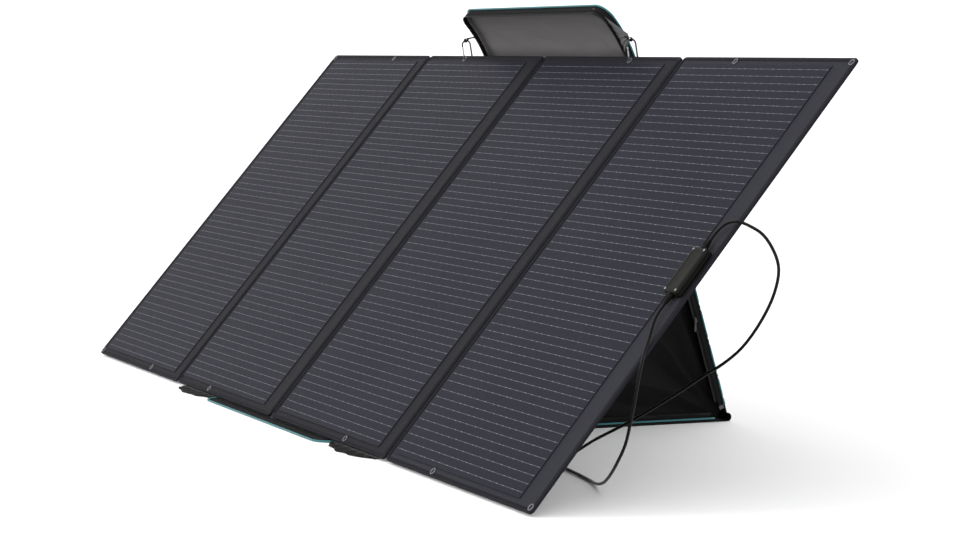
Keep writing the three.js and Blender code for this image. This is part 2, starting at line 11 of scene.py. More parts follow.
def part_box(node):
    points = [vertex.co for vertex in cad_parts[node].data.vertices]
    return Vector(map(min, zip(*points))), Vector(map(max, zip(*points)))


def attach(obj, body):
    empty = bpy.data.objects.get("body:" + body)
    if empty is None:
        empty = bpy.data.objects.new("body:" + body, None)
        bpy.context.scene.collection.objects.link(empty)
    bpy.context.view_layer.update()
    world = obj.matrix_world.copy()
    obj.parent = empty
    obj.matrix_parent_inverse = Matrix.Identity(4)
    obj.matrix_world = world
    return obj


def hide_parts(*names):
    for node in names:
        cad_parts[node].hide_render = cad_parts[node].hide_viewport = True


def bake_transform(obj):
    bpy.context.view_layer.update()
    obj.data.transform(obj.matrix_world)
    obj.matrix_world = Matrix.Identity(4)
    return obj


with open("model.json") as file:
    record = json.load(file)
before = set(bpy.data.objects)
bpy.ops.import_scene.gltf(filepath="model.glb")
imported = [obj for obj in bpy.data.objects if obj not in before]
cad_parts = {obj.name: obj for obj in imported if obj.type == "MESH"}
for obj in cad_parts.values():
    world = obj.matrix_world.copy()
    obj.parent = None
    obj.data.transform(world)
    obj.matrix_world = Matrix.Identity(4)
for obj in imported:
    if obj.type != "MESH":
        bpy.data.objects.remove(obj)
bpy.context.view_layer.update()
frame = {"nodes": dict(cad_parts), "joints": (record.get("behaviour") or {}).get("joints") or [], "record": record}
print("frame loaded:", len(frame["nodes"]), "nodes")

jointAt = {joint["name"]: joint for joint in frame["joints"]}
nodes = frame["nodes"]
sides = {"left": -1, "right": 1}

# The panels' plane: across is +X, slopeUp runs up the panels, slopeOut points out of their front
slopeUp = Vector(jointAt["fold_1"]["axis"])
slopeOut = Vector((0, -slopeUp.z, slopeUp.y))
foldLift = 0.002    # the fold axes lie this far in front of the panels' front faces
panelFoot = Vector(jointAt["fold_1"]["pos_m"]) - slopeOut * foldLift
panelFoot.x = 0
panelNames = ["1", "2", "3", "4"]
panelBody = {"1": "panel_1", "2": "panel_2", "3": "panel_3", "4": "panel_4"}
boardThickness = 0.0045
panelSides = {k: (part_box("panel_board_" + k)[0].x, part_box("panel_board_" + k)[1].x) for k in panelNames}
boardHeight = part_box("panel_board_1")[1].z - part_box("panel_board_1")[0].z
panelLength = (boardHeight - boardThickness * slopeUp.y) / slopeUp.z
foldX = [jointAt["fold_%d" % k]["pos_m"][0] for k in (1, 2, 3)]

# The upright half: up from the spine along a flat stretch and a bend, deep from the outer skin
upright = {"straight": 0.83, "bend": math.radians(30), "bendLength": 0.175, "wall": 0.016, "corner": 0.034}
spine = Vector(jointAt["case_hinge"]["pos_m"])
uprightUp = Vector(jointAt["zip_slide_left"]["axis"])
uprightLean = math.atan2(-uprightUp.y, uprightUp.z)
uprightTop = upright["straight"] + upright["bendLength"]
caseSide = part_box("base_shell")[1].x
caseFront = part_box("base_shell")[0].y
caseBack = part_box("base_shell")[1].y
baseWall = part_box("base_shell")[1].z


def panelPoint(x, up, out):
    return panelFoot + Vector((x, 0, 0)) + slopeUp * up + slopeOut * out


def uprightPoint(x, up, deep):
    past = max(0.0, up - upright["straight"])
    radius = upright["bendLength"] / upright["bend"]
    angle = uprightLean + past / radius
    flat = min(up, upright["straight"])
    y = spine.y - flat * math.sin(uprightLean) - radius * (math.cos(uprightLean) - math.cos(angle))
    z = spine.z + flat * math.cos(uprightLean) + radius * (math.sin(angle) - math.sin(uprightLean))
    return Vector((x, y - deep * math.cos(angle), z - deep * math.sin(angle)))


def dressed(piece, body, slot, *replaced):
    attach(piece, body)
    if replaced:
        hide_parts(*replaced)
    return piece


# Mesh helpers
def meshObject(name, verts, faces, finish, uvs=None, smooth=True):
    mesh = bpy.data.meshes.new(name)
    mesh.from_pydata([tuple(v) for v in verts], [], faces)
    mesh.polygons.foreach_set("use_smooth", [smooth] * len(mesh.polygons))
    if uvs:
        layer = mesh.uv_layers.new(name="clothMap")
        for loop in mesh.loops:
            layer.data[loop.index].uv = uvs[loop.vertex_index]
    mesh.materials.append(finish)
    mesh.update()
    made = bpy.data.objects.new(name, mesh)
    bpy.context.scene.collection.objects.link(made)
    return made


# A curve of straight stretches through the given points
def lineCurve(name, path):
    curve = bpy.data.curves.new(name, "CURVE")
    curve.dimensions = "3D"
    spline = curve.splines.new("POLY")
    spline.points.add(len(path) - 1)
    for point, place in zip(spline.points, path):
        point.co = (*place, 1)
    return curve


def modified(piece, kind, **settings):
    modifier = piece.modifiers.new(kind, kind)
    for name, value in settings.items():
        setattr(modifier, name, value)
    return piece


# Turns every modifier on a piece into plain mesh
def settled(piece):
    bpy.context.view_layer.update()
    graph = bpy.context.evaluated_depsgraph_get()
    mesh = bpy.data.meshes.new_from_object(piece.evaluated_get(graph), preserve_all_data_layers=True,
                                           depsgraph=graph)
    piece.modifiers.clear()
    piece.data = mesh
    return piece


def gridFaces(rows, columns):
    wide = columns + 1
    return [(i * wide + j, i * wide + j + 1, (i + 1) * wide + j + 1, (i + 1) * wide + j)
            for i in range(rows) for j in range(columns)]


# Faces between closed rings of points that follow each other
def ringFaces(rings, size):
    return [(r * size + k, r * size + (k + 1) % size, (r + 1) * size + (k + 1) % size, (r + 1) * size + k)
            for r in range(rings - 1) for k in range(size)]


def gridPiece(name, rows, columns, place, finish, thickness=0.0, offset=0.0):
    verts, uvs = [], []
    for i in range(rows + 1):
        for j in range(columns + 1):
            point, uv = place(i / rows, j / columns)
            verts.append(point)
            uvs.append(uv)
    made = meshObject(name, verts, gridFaces(rows, columns), finish, uvs)
    if thickness:
        modified(made, "SOLIDIFY", thickness=thickness, offset=offset, use_even_offset=True)
        closedOutward(settled(made))
    return made


# A smooth curve through the given points, as closely spaced points
def throughPoints(points, step=8):
    points = [Vector(p) for p in points]
    padded = [points[0] * 2 - points[1], *points, points[-1] * 2 - points[-2]]
    out = []
    for i in range(1, len(padded) - 2):
        p0, p1, p2, p3 = padded[i - 1:i + 3]
        t1 = (p1 - p0).length ** 0.5
        t2 = t1 + (p2 - p1).length ** 0.5
        t3 = t2 + (p3 - p2).length ** 0.5
        for k in range(step):
            t = t1 + (t2 - t1) * k / step
            a1 = p0 * ((t1 - t) / t1) + p1 * (t / t1)
            a2 = p1 * ((t2 - t) / (t2 - t1)) + p2 * ((t - t1) / (t2 - t1))
            a3 = p2 * ((t3 - t) / (t3 - t2)) + p3 * ((t - t2) / (t3 - t2))
            b1 = a1 * ((t2 - t) / t2) + a2 * (t / t2)
            b2 = a2 * ((t3 - t) / (t3 - t1)) + a3 * ((t - t1) / (t3 - t1))
            out.append(b1 * ((t2 - t) / (t2 - t1)) + b2 * ((t - t1) / (t2 - t1)))
    out.append(points[-1])
    return out


# A section carried along a path. The section's first axis stays as near to side as the path allows.
def swept(name, path, section, finish, side=(1, 0, 0), closed=False, smooth=True):
    verts, uvs, run = [], [], 0.0
    count = len(path)
    for i, point in enumerate(path):
        after = path[(i + 1) % count] if closed else path[min(i + 1, count - 1)]
        before = path[i - 1] if closed or i else path[0]
        ahead = (after - before).normalized()
        across = Vector(side) - ahead * ahead.dot(Vector(side))
        across.normalize()
        over = ahead.cross(across)
        run += (point - path[i - 1]).length if i else 0
        around = 0.0
        for k, (a, b) in enumerate(section):
            verts.append(point + across * a + over * b)
            uvs.append((run, around))
            nextA, nextB = section[(k + 1) % len(section)]
            around += math.hypot(nextA - a, nextB - b)
    size = len(section)
    faces = []
    for i in range(count if closed else count - 1):
        for k in range(size):
            low, high = i * size, ((i + 1) % count) * size
            faces.append((low + k, low + (k + 1) % size, high + (k + 1) % size, high + k))
    if not closed:
        faces.append(tuple(reversed(range(size))))
        faces.append(tuple(range((count - 1) * size, count * size)))
    return closedOutward(meshObject(name, verts, faces, finish, uvs, smooth))


def roundSection(radius, sidesCount=12):
    return [(radius * math.cos(2 * math.pi * k / sidesCount), radius * math.sin(2 * math.pi * k / sidesCount))
            for k in range(sidesCount)]


# A flat band's section with softened edges
def bandSection(width, thickness):
    w, t = width / 2, thickness / 2
    e = min(t, w) * 0.7
    corners = [(-w, -t + e), (-w + e, -t), (w - e, -t), (w, -t + e)]
    return corners + [(-x, -y) for x, y in corners]


# A turned shape about an axis from a point along a direction; profile rows are (radius, along)
def turned(name, start, direction, profile, finish, segments=28):
    axis = Vector(direction).normalized()
    across = axis.orthogonal().normalized()
    over = axis.cross(across)
    verts = []
    for radius, along in profile:
        for k in range(segments):
            a = 2 * math.pi * k / segments
            verts.append(Vector(start) + axis * along + (across * math.cos(a) + over * math.sin(a)) * radius)
    rings = len(profile)
    faces = ringFaces(rings, segments)
    closedRing = profile[0] == profile[-1]
    if not closedRing:
        faces.append(tuple(reversed(range(segments))))
        faces.append(tuple(range((rings - 1) * segments, rings * segments)))
    made = meshObject(name, verts, faces, finish)
    if closedRing:
        merged(made)
    return made


def merged(piece, distance=1e-6):
    modified(piece, "WELD", merge_threshold=distance)
    return settled(piece)


# Turns every face of a closed mesh outward
def closedOutward(piece):
    shape = bmesh.new()
    shape.from_mesh(piece.data)
    bmesh.ops.recalc_face_normals(shape, faces=shape.faces)
    shape.to_mesh(piece.data)
    shape.free()
    return piece


def joinPieces(name, pieces):
    shape = bmesh.new()
    finishes = []
    for piece in pieces:
        known = len(shape.faces)
        shape.from_mesh(piece.data)
        shape.faces.ensure_lookup_table()
        slots = []
        for finish in piece.data.materials:
            if finish not in finishes:
                finishes.append(finish)
            slots.append(finishes.index(finish))
        for face in shape.faces[known:]:
            face.material_index = slots[face.material_index]
    mesh = bpy.data.meshes.new(name)
    shape.to_mesh(mesh)
    shape.free()
    for finish in finishes:
        mesh.materials.append(finish)
    for piece in pieces:
        bpy.data.objects.remove(piece)
    made = bpy.data.objects.new(name, mesh)
    bpy.context.scene.collection.objects.link(made)
    return made


# Shader maths: a socket that takes part in plain expressions
class Socket:
    def __init__(self, tree, link):
        self.tree = tree
        self.link = link

    def maths(self, operation, *others):
        node = self.tree.nodes.new("ShaderNodeMath")
        node.operation = operation
        for slot, value in zip(node.inputs, (self, *others)):
            if isinstance(value, Socket):
                self.tree.links.new(value.link, slot)
            else:
                slot.default_value = value
        return Socket(self.tree, node.outputs[0])

    def __add__(self, other):
        return self.maths("ADD", other)

    __radd__ = __add__

    def __sub__(self, other):
        return self.maths("SUBTRACT", other)

    def __rsub__(self, other):
        return (self * -1) + other

    def __mul__(self, other):
        return self.maths("MULTIPLY", other)

    __rmul__ = __mul__

    def __truediv__(self, other):
        return self.maths("DIVIDE", other)

    def sine(self):
        return self.maths("SINE")

    def within(self, low, high):
        return self.maths("GREATER_THAN", low) * self.maths("LESS_THAN", high)

    def repeat(self, pitch):
        return (self / pitch).maths("FRACT")


class Finish:
    def __init__(self, name, **fixed):
        self.material = bpy.data.materials.new(name)
        self.material.use_nodes = True
        self.tree = self.material.node_tree
        self.shader = self.tree.nodes["Principled BSDF"]
        for key, value in fixed.items():
            self.shader.inputs[key.replace("_", " ")].default_value = value

    def node(self, kind, settings=None, sockets=None, out=0):
        made = self.tree.nodes.new("ShaderNode" + kind)
        for key, value in (settings or {}).items():
            if key == "stops":
                ramp = made.color_ramp
                while len(ramp.elements) < len(value):
                    ramp.elements.new(0.5)
                for element, (position, colour) in zip(ramp.elements, value):
                    element.position = position
                    element.color = (*colour, 1)
            else:
                setattr(made, key, value)
        for key, value in (sockets or {}).items():
            if isinstance(value, Socket):
                self.tree.links.new(value.link, made.inputs[key])
            else:
                made.inputs[key].default_value = value
        return Socket(self.tree, made.outputs[out])

    def feed(self, name, socket):
        self.tree.links.new(socket.link, self.shader.inputs[name])

    def objectPoint(self):
        return self.node("TexCoord", out=3)

    def clothPoint(self):
        return self.node("UVMap", {"uv_map": "clothMap"})

    def parts(self, point):
        node = self.tree.nodes.new("ShaderNodeSeparateXYZ")
        self.tree.links.new(point.link, node.inputs[0])
        return [Socket(self.tree, out) for out in node.outputs]

    def noise(self, point, scale, detail=3.0, roughness=0.55):
        return self.node("TexNoise", sockets={"Vector": point, "Scale": scale, "Detail": detail,
                                              "Roughness": roughness})

    def ramp(self, socket, *stops):
        return self.node("ValToRGB", {"stops": stops}, {"Fac": socket})

    def blendColour(self, factor, first, second):
        colours = [value if isinstance(value, Socket) else (*value, 1) for value in (first, second)]
        return self.node("Mix", {"data_type": "RGBA"}, {0: factor, 6: colours[0], 7: colours[1]}, out=2)

    def bump(self, height, strength, distance):
        self.feed("Normal", self.node("Bump", sockets={"Height": height, "Strength": strength,
                                                       "Distance": distance}))


# Woven cloth: over-and-under threads at a pitch, slubs, and slow patches of wear
def shade(colour, share):
    return [min(1, c * share) for c in colour]


def wovenCloth(name, colour, pitch=0.0011, rough=0.78, coordinates="cloth", sheen=0.0, worn=0.25, creases=0.0,
               shine=0.1):
    made = Finish(name, Sheen_Weight=sheen, Sheen_Roughness=0.5, Specular_IOR_Level=shine)
    point = made.clothPoint() if coordinates == "cloth" else made.objectPoint()
    x, y, z = made.parts(point)
    across, along = (x, y) if coordinates == "cloth" else (x, y * slopeUp.y + z * slopeUp.z)
    turn = 2 * math.pi / pitch
    threads = (across * turn).sine() * (along * turn).sine()
    body = made.objectPoint()
    slow = made.noise(body, 9, 4)
    fine = made.noise(body, 420, 3)
    lighter = [min(1, c * (1 + worn)) for c in colour]
    darker = [c * (1 - worn) for c in colour]
    tone = made.blendColour(slow * 0.6 + fine * 0.4, darker, lighter)
    made.feed("Base Color", made.blendColour(threads * 0.18 + 0.2, tone, darker))
    made.feed("Roughness", slow * 0.14 + (rough - 0.07))
    height = threads * 0.35 + fine * 0.4
    if creases:
        height = height + made.noise(body, 16, 5, 0.6) * creases
    made.bump(height, 0.55, 0.0007)
    return made.material


def mouldedPlastic(name, colour, rough=0.45, grain=900):
    made = Finish(name, Specular_IOR_Level=0.08)
    point = made.objectPoint()
    fine = made.noise(point, grain, 2)
    slow = made.noise(point, 35, 3)
    made.feed("Base Color", made.blendColour(slow, shade(colour, 0.8), shade(colour, 1.25)))
    made.feed("Roughness", fine * 0.16 + slow * 0.1 + (rough - 0.12))
    made.bump(fine, 0.25, 0.0003)
    return made.material


def coatedMetal(name, colour, rough=0.32, metal=0.85):
    made = Finish(name)
    point = made.objectPoint()
    fine = made.noise(point, 700, 3)
    scuffs = made.node("TexNoise", sockets={"Vector": made.node("Mapping", sockets={
        "Vector": point, "Scale": (1, 8, 1)}), "Scale": 160, "Detail": 4})
    worn = scuffs.maths("GREATER_THAN", 0.62)
    made.feed("Base Color", made.blendColour(worn * 0.35, colour, shade(colour, 2.4)))
    made.feed("Metallic", worn * 0.1 + (metal - 0.05))
    made.feed("Roughness", fine * 0.2 + (rough - 0.1))
    made.bump(scuffs, 0.12, 0.0002)
    return made.material


def cableJacket(name):
    made = Finish(name, Specular_IOR_Level=0.1, Coat_Roughness=0.15)
    point = made.objectPoint()
    fine = made.noise(point, 500, 2)
    slow = made.noise(point, 24, 3)
    made.feed("Base Color", made.blendColour(slow, (0.001, 0.001, 0.001), (0.0025, 0.0025, 0.0025)))
    made.feed("Roughness", slow * 0.18 + 0.22)
    made.feed("Coat Weight", slow * 0.06 + 0.02)
    made.bump(fine, 0.12, 0.0002)
    return made.material


def studioFloor(name, colour):
    made = Finish(name, Specular_IOR_Level=0.1)
    slow = made.noise(made.objectPoint(), 0.4, 2)
    made.feed("Base Color", made.blendColour(slow, shade(colour, 0.995), shade(colour, 1.005)))
    made.feed("Roughness", slow * 0.05 + 0.8)
    return made.material


# Dark cell: fine horizontal fingers, faint columns and a slow mottle under a satin film
def solarCell(name, colour, fingers=0.0016, columns=0.0285):
    made = Finish(name, Specular_IOR_Level=0.05, Coat_Roughness=0.3)
    x, y, z = made.parts(made.objectPoint())
    up = y * slopeUp.y + z * slopeUp.z
    body = made.objectPoint()
    fine = made.noise(body, 650, 2)
    mottle = made.noise(body, 60, 4)
    slow = made.noise(body, 5, 2)
    finger = (up * (2 * math.pi / fingers)).sine()
    column = x.repeat(columns).within(0.0, 0.05)
    tone = made.blendColour(mottle * 0.5 + slow * 0.3 + fine * 0.2, shade(colour, 0.8),
                            shade(colour, 1.22))
    lined = made.blendColour(finger * 0.1 + 0.1, tone, shade(colour, 1.5))
    made.feed("Base Color", made.blendColour(column * 0.25, lined, shade(colour, 0.7)))
    made.feed("Roughness", mottle * 0.16 + 0.42)
    made.feed("Coat Weight", slow * 0.03)
    made.bump(fine * 0.6 + finger * 0.15, 0.3, 0.0004)
    return made.material


# Twisted piping cord: helical stripes from the strip's own length and girth
def pipingCloth(name, colour):
    made = Finish(name, Sheen_Weight=0.3, Sheen_Roughness=0.4)
    along, around, _ = made.parts(made.clothPoint())
    twist = ((along + around * 0.8) * (2 * math.pi / 0.0021)).sine()
    slow = made.noise(made.objectPoint(), 30, 3)
    tone = made.blendColour(slow, shade(colour, 0.75), shade(colour, 1.3))
    made.feed("Base Color", made.blendColour(twist * 0.2 + 0.2, tone, shade(colour, 0.5)))
    made.feed("Roughness", slow * 0.15 + 0.55)
    made.bump(twist, 0.6, 0.0004)
    return made.material


panelCloth = wovenCloth("panelCloth", (0.0115, 0.0115, 0.015), 0.0009, 0.65, "object", 0.0, 0.15)
bindingCloth = wovenCloth("bindingCloth", (0.0095, 0.0095, 0.0135), 0.0012, 0.7)
foldCloth = wovenCloth("foldCloth", (0.0085, 0.0085, 0.0125), 0.0012, 0.8, creases=0.5)
backSheet = wovenCloth("backSheet", (0.0105, 0.0105, 0.015), 0.0007, 0.55, "object", 0.0, 0.1)
cellFace = solarCell("cellFace", (0.0108, 0.0108, 0.0178))
busbarMetal = coatedMetal("busbarMetal", (0.06, 0.06, 0.074), 0.55, 0.05)
solderMetal = coatedMetal("solderMetal", (0.23, 0.23, 0.26), 0.5, 0.05)
threadFinish = wovenCloth("threadFinish", (0.02, 0.02, 0.024), 0.0006, 0.7, "object")
caseCloth = wovenCloth("caseCloth", (0.0075, 0.0075, 0.0085), 0.0014, 0.8, creases=0.6)
gussetCloth = wovenCloth("gussetCloth", (0.0028, 0.0023, 0.0024), 0.0008, 0.42, worn=0.4, creases=0.9,
                         shine=0.08)
liningCloth = wovenCloth("liningCloth", (0.112, 0.107, 0.109), 0.0011, 0.85, worn=0.1, creases=0.35)
webbingCloth = wovenCloth("webbingCloth", (0.009, 0.009, 0.01), 0.0019, 0.75)
zipCloth = wovenCloth("zipCloth", (0.005, 0.005, 0.0055), 0.001, 0.7)
tealCloth = pipingCloth("tealCloth", (0.006, 0.16, 0.18))
toothPlastic = mouldedPlastic("toothPlastic", (0.02, 0.02, 0.021), 0.35)
boxPlastic = mouldedPlastic("boxPlastic", (0.004, 0.0038, 0.0032), 0.42)
boxLid = mouldedPlastic("boxLid", (0.0075, 0.0073, 0.0062), 0.5, 1400)
screwMetal = coatedMetal("screwMetal", (0.3, 0.3, 0.3), 0.3, 0.9)
blackWire = coatedMetal("blackWire", (0.035, 0.035, 0.036), 0.3, 0.6)
eyeletMetal = coatedMetal("eyeletMetal", (0.13, 0.13, 0.145), 0.34, 0.75)
leadJacket = cableJacket("leadJacket")
circuitBoard = mouldedPlastic("circuitBoard", (0.02, 0.09, 0.04), 0.4)
# The panel cloth made lighter for panel 4's board alone: painted light, standing in for the brighter light that
# board catches
panelClothPaintedLighter = wovenCloth("panelClothPaintedLighter", (0.0195, 0.02, 0.026), 0.0009, 0.65, "object", 0.0, 0.15)
floorFinish = studioFloor("floorFinish", (0.9, 0.9, 0.9))
print("finishes made")

# Camera
camera = {"place": (4.5234, -1.8990, 0.7520), "yaw": 1.0761, "pitch": 0.0849, "roll": -0.0304, "lens": 81.72}


def makeCamera():
    yaw, pitch, roll = camera["yaw"], camera["pitch"], camera["roll"]
    ahead = Vector((-math.sin(yaw) * math.cos(pitch), math.cos(yaw) * math.cos(pitch), -math.sin(pitch)))
    level = Vector((math.cos(yaw), math.sin(yaw), 0))
    down = ahead.cross(level)
    right = level * math.cos(roll) + down * math.sin(roll)
    above = level * math.sin(roll) - down * math.cos(roll)
    data = bpy.data.cameras.new("studioCamera")
    data.lens = camera["lens"]
    data.sensor_width = 36
    data.clip_end = 60
    made = bpy.data.objects.new("studioCamera", data)
    bpy.context.scene.collection.objects.link(made)
    turn = Matrix((right, above, -ahead)).transposed()
    made.matrix_world = Matrix.Translation(camera["place"]) @ turn.to_4x4()
    bpy.context.scene.camera = made


makeCamera()

# Leads: each leaves its gland, runs to the floor behind the last panel and ends in a coil and a plug
lead = {"radius": 0.003, "coilOuter": 0.03675, "coilInner": 0.02925, "low": 0.0032, "high": 0.0098}
leadRoutes = {
    "upper": [
        (1147.5, 379.8, 483.3), (1148, 391.2, 497.2), (1155, 400.2, 509.8), (1170, 405.8, 518.1),
        (1188, 411.3, 520.1), (1204, 424, 514), (1219, 446, 498), (1227, 467, 466), (1227, 478, 435),
        (1216, 478, 390), (1190, 470, 337), (1148, 459, 283), (1108, 445, 248), (1070, 430, 222),
        (1022, 409, 186), (974, 386, 151), (930, 365, 120), (886, 343, 92), (852, 327, 71), (815, 320, 49),
        (770, 325, 28), (725, 341, 12), (690, 356, 5.2), (662, 367, 3.5), (641.5, 373, 3.4)],
    "lower": [
        (1147.5, 284.9, 367.8), (1148, 273.5, 354), (1153, 262.2, 341), (1163, 249.6, 324.2),
        (1175, 235.3, 303.6), (1187, 219.4, 280.4), (1193, 209.2, 252.5), (1194, 204, 225), (1191, 201.5, 196),
        (1182, 201, 163), (1160, 205, 117), (1116, 215, 73), (1062, 233, 39), (1008, 253, 17), (955, 271, 5.4),
        (908, 284, 3.4), (851, 295, 3.4), (796, 304, 3.4), (755, 311, 3.4), (717.1, 313, 3.4)]}


def easeStep(value, start, end):
    t = min(1.0, max(0.0, (value - start) / (end - start)))
    return t * t * (3 - 2 * t)


# Turns: outer low, inner low, inner high, outer high, as one winding that ends towards the plug
def coilTurns(centre, plugStart, lastDegrees):
    inner, outer = lead["coilInner"], lead["coilOuter"]
    points = []
    for degrees in range(80, lastDegrees + 1, 12):
        radius = outer - (outer - inner) * easeStep(degrees, 395, 430)
        radius += (outer - inner) * easeStep(degrees, 1090, 1120)
        height = lead["low"] + (lead["high"] - lead["low"]) * easeStep(degrees, 735, 765)
        a = math.radians(degrees)
        points.append(Vector((centre[0] + radius * math.cos(a), centre[1] + radius * math.sin(a), height)))
    last = points[-1]
    for share in (0.4, 0.7, 1.0):
        eased = easeStep(share, 0, 1)
        points.append(Vector((last.x + (plugStart[0] - last.x) * share,
                              last.y + (plugStart[1] - last.y) * eased,
                              last.z + (plugStart[2] - last.z) * eased)))
    return points


def makeLead(end):
    low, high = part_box("coil_" + end)
    centre = ((low.x + high.x) / 2, (low.y + high.y) / 2)
    plugLow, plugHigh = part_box("plug_" + end)
    backwards = (plugLow.x + plugHigh.x) / 2 < centre[0]
    plugStart = (plugHigh.x if backwards else plugLow.x, (plugLow.y + plugHigh.y) / 2,
                 (plugLow.z + plugHigh.z) / 2)
    route = [Vector(p) / 1000 for p in leadRoutes[end]]
    turns = coilTurns(centre, plugStart, 1160 if plugStart[1] > centre[1] else 1340)
    path = throughPoints([*route, *turns], 4)
    length = sum((b - a).length for a, b in zip(path, path[1:]))
    data = lineCurve("lead_cable_" + end, path)
    data.bevel_depth = lead["radius"]
    data.bevel_resolution = 3
    data.use_fill_caps = True
    data.splines[0].use_smooth = True
    data.materials.append(leadJacket)
    made = bpy.data.objects.new("lead_cable_" + end, data)
    bpy.context.scene.collection.objects.link(made)
    plug = makePlug(end, plugStart, -1 if backwards else 1)
    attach(made, "panel_4")
    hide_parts("lead_" + end, "coil_" + end)
    tuple(path[0])
    print("lead", end, "length", round(length, 3))


def makePlug(end, start, direction):
    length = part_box("plug_" + end)[1].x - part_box("plug_" + end)[0].x
    r = (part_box("plug_" + end)[1].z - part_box("plug_" + end)[0].z) / 2
    profile = [(0.42 * r, 0.0), (0.55 * r, 0.004), (0.6 * r, 0.2 * length)]
    for k in range(5):    # grip rings
        at = (0.26 + 0.05 * k) * length
        profile += [(0.97 * r, at), (0.97 * r, at + 0.025 * length), (0.88 * r, at + 0.03 * length),
                    (0.88 * r, at + 0.045 * length)]
    profile += [(0.94 * r, 0.53 * length), (0.8 * r, 0.56 * length), (0.8 * r, 0.8 * length),
                (0.5 * r, 0.82 * length), (0.5 * r, 0.985 * length), (0.44 * r, length), (0.3 * r, length),
                (0.3 * r, 0.86 * length)]
    made = turned("lead_plug_" + end, start, (direction, 0, 0), profile, boxPlastic)
    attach(made, "panel_4")
    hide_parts("plug_" + end)
    return made


for end in leadRoutes:
    makeLead(end)
print("leads made")

# Geometry Nodes: copies of a small mesh on a grid or along a curve
class Tree:
    def __init__(self, name):
        self.tree = bpy.data.node_groups.new(name, "GeometryNodeTree")
        self.tree.interface.new_socket("Geometry", in_out="INPUT", socket_type="NodeSocketGeometry")
        self.tree.interface.new_socket("Geometry", in_out="OUTPUT", socket_type="NodeSocketGeometry")
        self.inputs = self.tree.nodes.new("NodeGroupInput")
        self.outputs = self.tree.nodes.new("NodeGroupOutput")

    def size(self, name, kind="Float"):
        self.tree.interface.new_socket(name, in_out="INPUT", socket_type="NodeSocket" + kind)
        return self.inputs.outputs[name]

    def node(self, kind, settings=None, sockets=None):
        made = self.tree.nodes.new(kind)
        for key, value in (settings or {}).items():
            setattr(made, key, value)
        for key, value in (sockets or {}).items():
            if isinstance(value, bpy.types.NodeSocket):
                self.tree.links.new(value, made.inputs[key])
            else:
                made.inputs[key].default_value = value
        return made.outputs

    # Every tree ends in real mesh with its finish set
    def end(self, instances, finish):
        real = self.node("GeometryNodeRealizeInstances", sockets={"Geometry": instances})
        painted = self.node("GeometryNodeSetMaterial", sockets={"Geometry": real[0], "Material": finish})
        self.tree.links.new(painted[0], self.outputs.inputs[0])
        return self.tree


def gridTree():
    made = Tree("copiesOnGrid")
    columns, rows = made.size("Columns", "Int"), made.size("Rows", "Int")
    wide, tall = made.size("Wide"), made.size("Tall")
    sizeX, sizeY, sizeZ = made.size("Size X"), made.size("Size Y"), made.size("Size Z")
    jitter, seed = made.size("Jitter"), made.size("Seed", "Int")
    grid = made.node("GeometryNodeMeshGrid", sockets={"Size X": wide, "Size Y": tall, "Vertices X": columns,
                                                      "Vertices Y": rows})
    points = made.node("GeometryNodeMeshToPoints", sockets={"Mesh": grid[0]})
    slide = made.node("FunctionNodeRandomValue", {"data_type": "FLOAT"}, {2: -1.0, 3: 1.0, "Seed": seed})
    reach = made.node("ShaderNodeMath", {"operation": "MULTIPLY"}, {0: slide[1], 1: jitter})
    shift = made.node("ShaderNodeCombineXYZ", sockets={"X": reach[0]})
    moved = made.node("GeometryNodeSetPosition", sockets={"Geometry": points[0], "Offset": shift[0]})
    size = made.node("ShaderNodeCombineXYZ", sockets={"X": sizeX, "Y": sizeY, "Z": sizeZ})
    bar = made.node("GeometryNodeMeshCube", sockets={"Size": size[0]})
    copies = made.node("GeometryNodeInstanceOnPoints", sockets={"Points": moved[0], "Instance": bar[0]})
    return made, copies[0]


# Copies of a block on a grid centred on the origin, in the panels' plane, as a plain mesh
def gridCopies(name, finish, sizes):
    made, copies = gridTree()
    tree = made.end(copies, finish)
    mesh = bpy.data.meshes.new(name)
    piece = bpy.data.objects.new(name, mesh)
    bpy.context.scene.collection.objects.link(piece)
    modifier = piece.modifiers.new("copies", "NODES")
    modifier.node_group = tree
    identifiers = {item.name: item.identifier for item in tree.interface.items_tree}
    for key, value in sizes.items():
        modifier[identifiers[key]] = value
    settled(piece)
    return piece


# Copies of a small mesh along a path, turned with it; returns one plain mesh
def alongPath(name, path, shape, pitch, finish, side=(1, 0, 0)):
    made = Tree(name + "Row")
    spacing = made.size("Spacing")
    shapeInput = made.size("Shape", "Object")
    points = made.node("GeometryNodeCurveToPoints", {"mode": "LENGTH"},
                       {"Curve": made.inputs.outputs["Geometry"], "Length": spacing})
    info = made.node("GeometryNodeObjectInfo", sockets={"Object": shapeInput})
    aim = made.node("FunctionNodeAlignRotationToVector", {"axis": "X"}, {"Vector": points[1]})
    steady = made.node("FunctionNodeAlignRotationToVector", {"axis": "Z", "pivot_axis": "X"},
                       {"Rotation": aim[0], "Vector": side})
    copies = made.node("GeometryNodeInstanceOnPoints", sockets={
        "Points": points[0], "Instance": info["Geometry"], "Rotation": steady[0]})
    tree = made.end(copies[0], finish)
    piece = bpy.data.objects.new(name + "Path", lineCurve(name, path))
    bpy.context.scene.collection.objects.link(piece)
    modifier = piece.modifiers.new("row", "NODES")
    modifier.node_group = tree
    identifiers = {item.name: item.identifier for item in tree.interface.items_tree}
    modifier[identifiers["Spacing"]] = pitch
    modifier[identifiers["Shape"]] = shape
    bpy.context.view_layer.update()
    evaluated = piece.evaluated_get(bpy.context.evaluated_depsgraph_get())
    mesh = bpy.data.meshes.new_from_object(evaluated)
    bpy.data.objects.remove(piece)
    result = bpy.data.objects.new(name, mesh)
    bpy.context.scene.collection.objects.link(result)
    return result


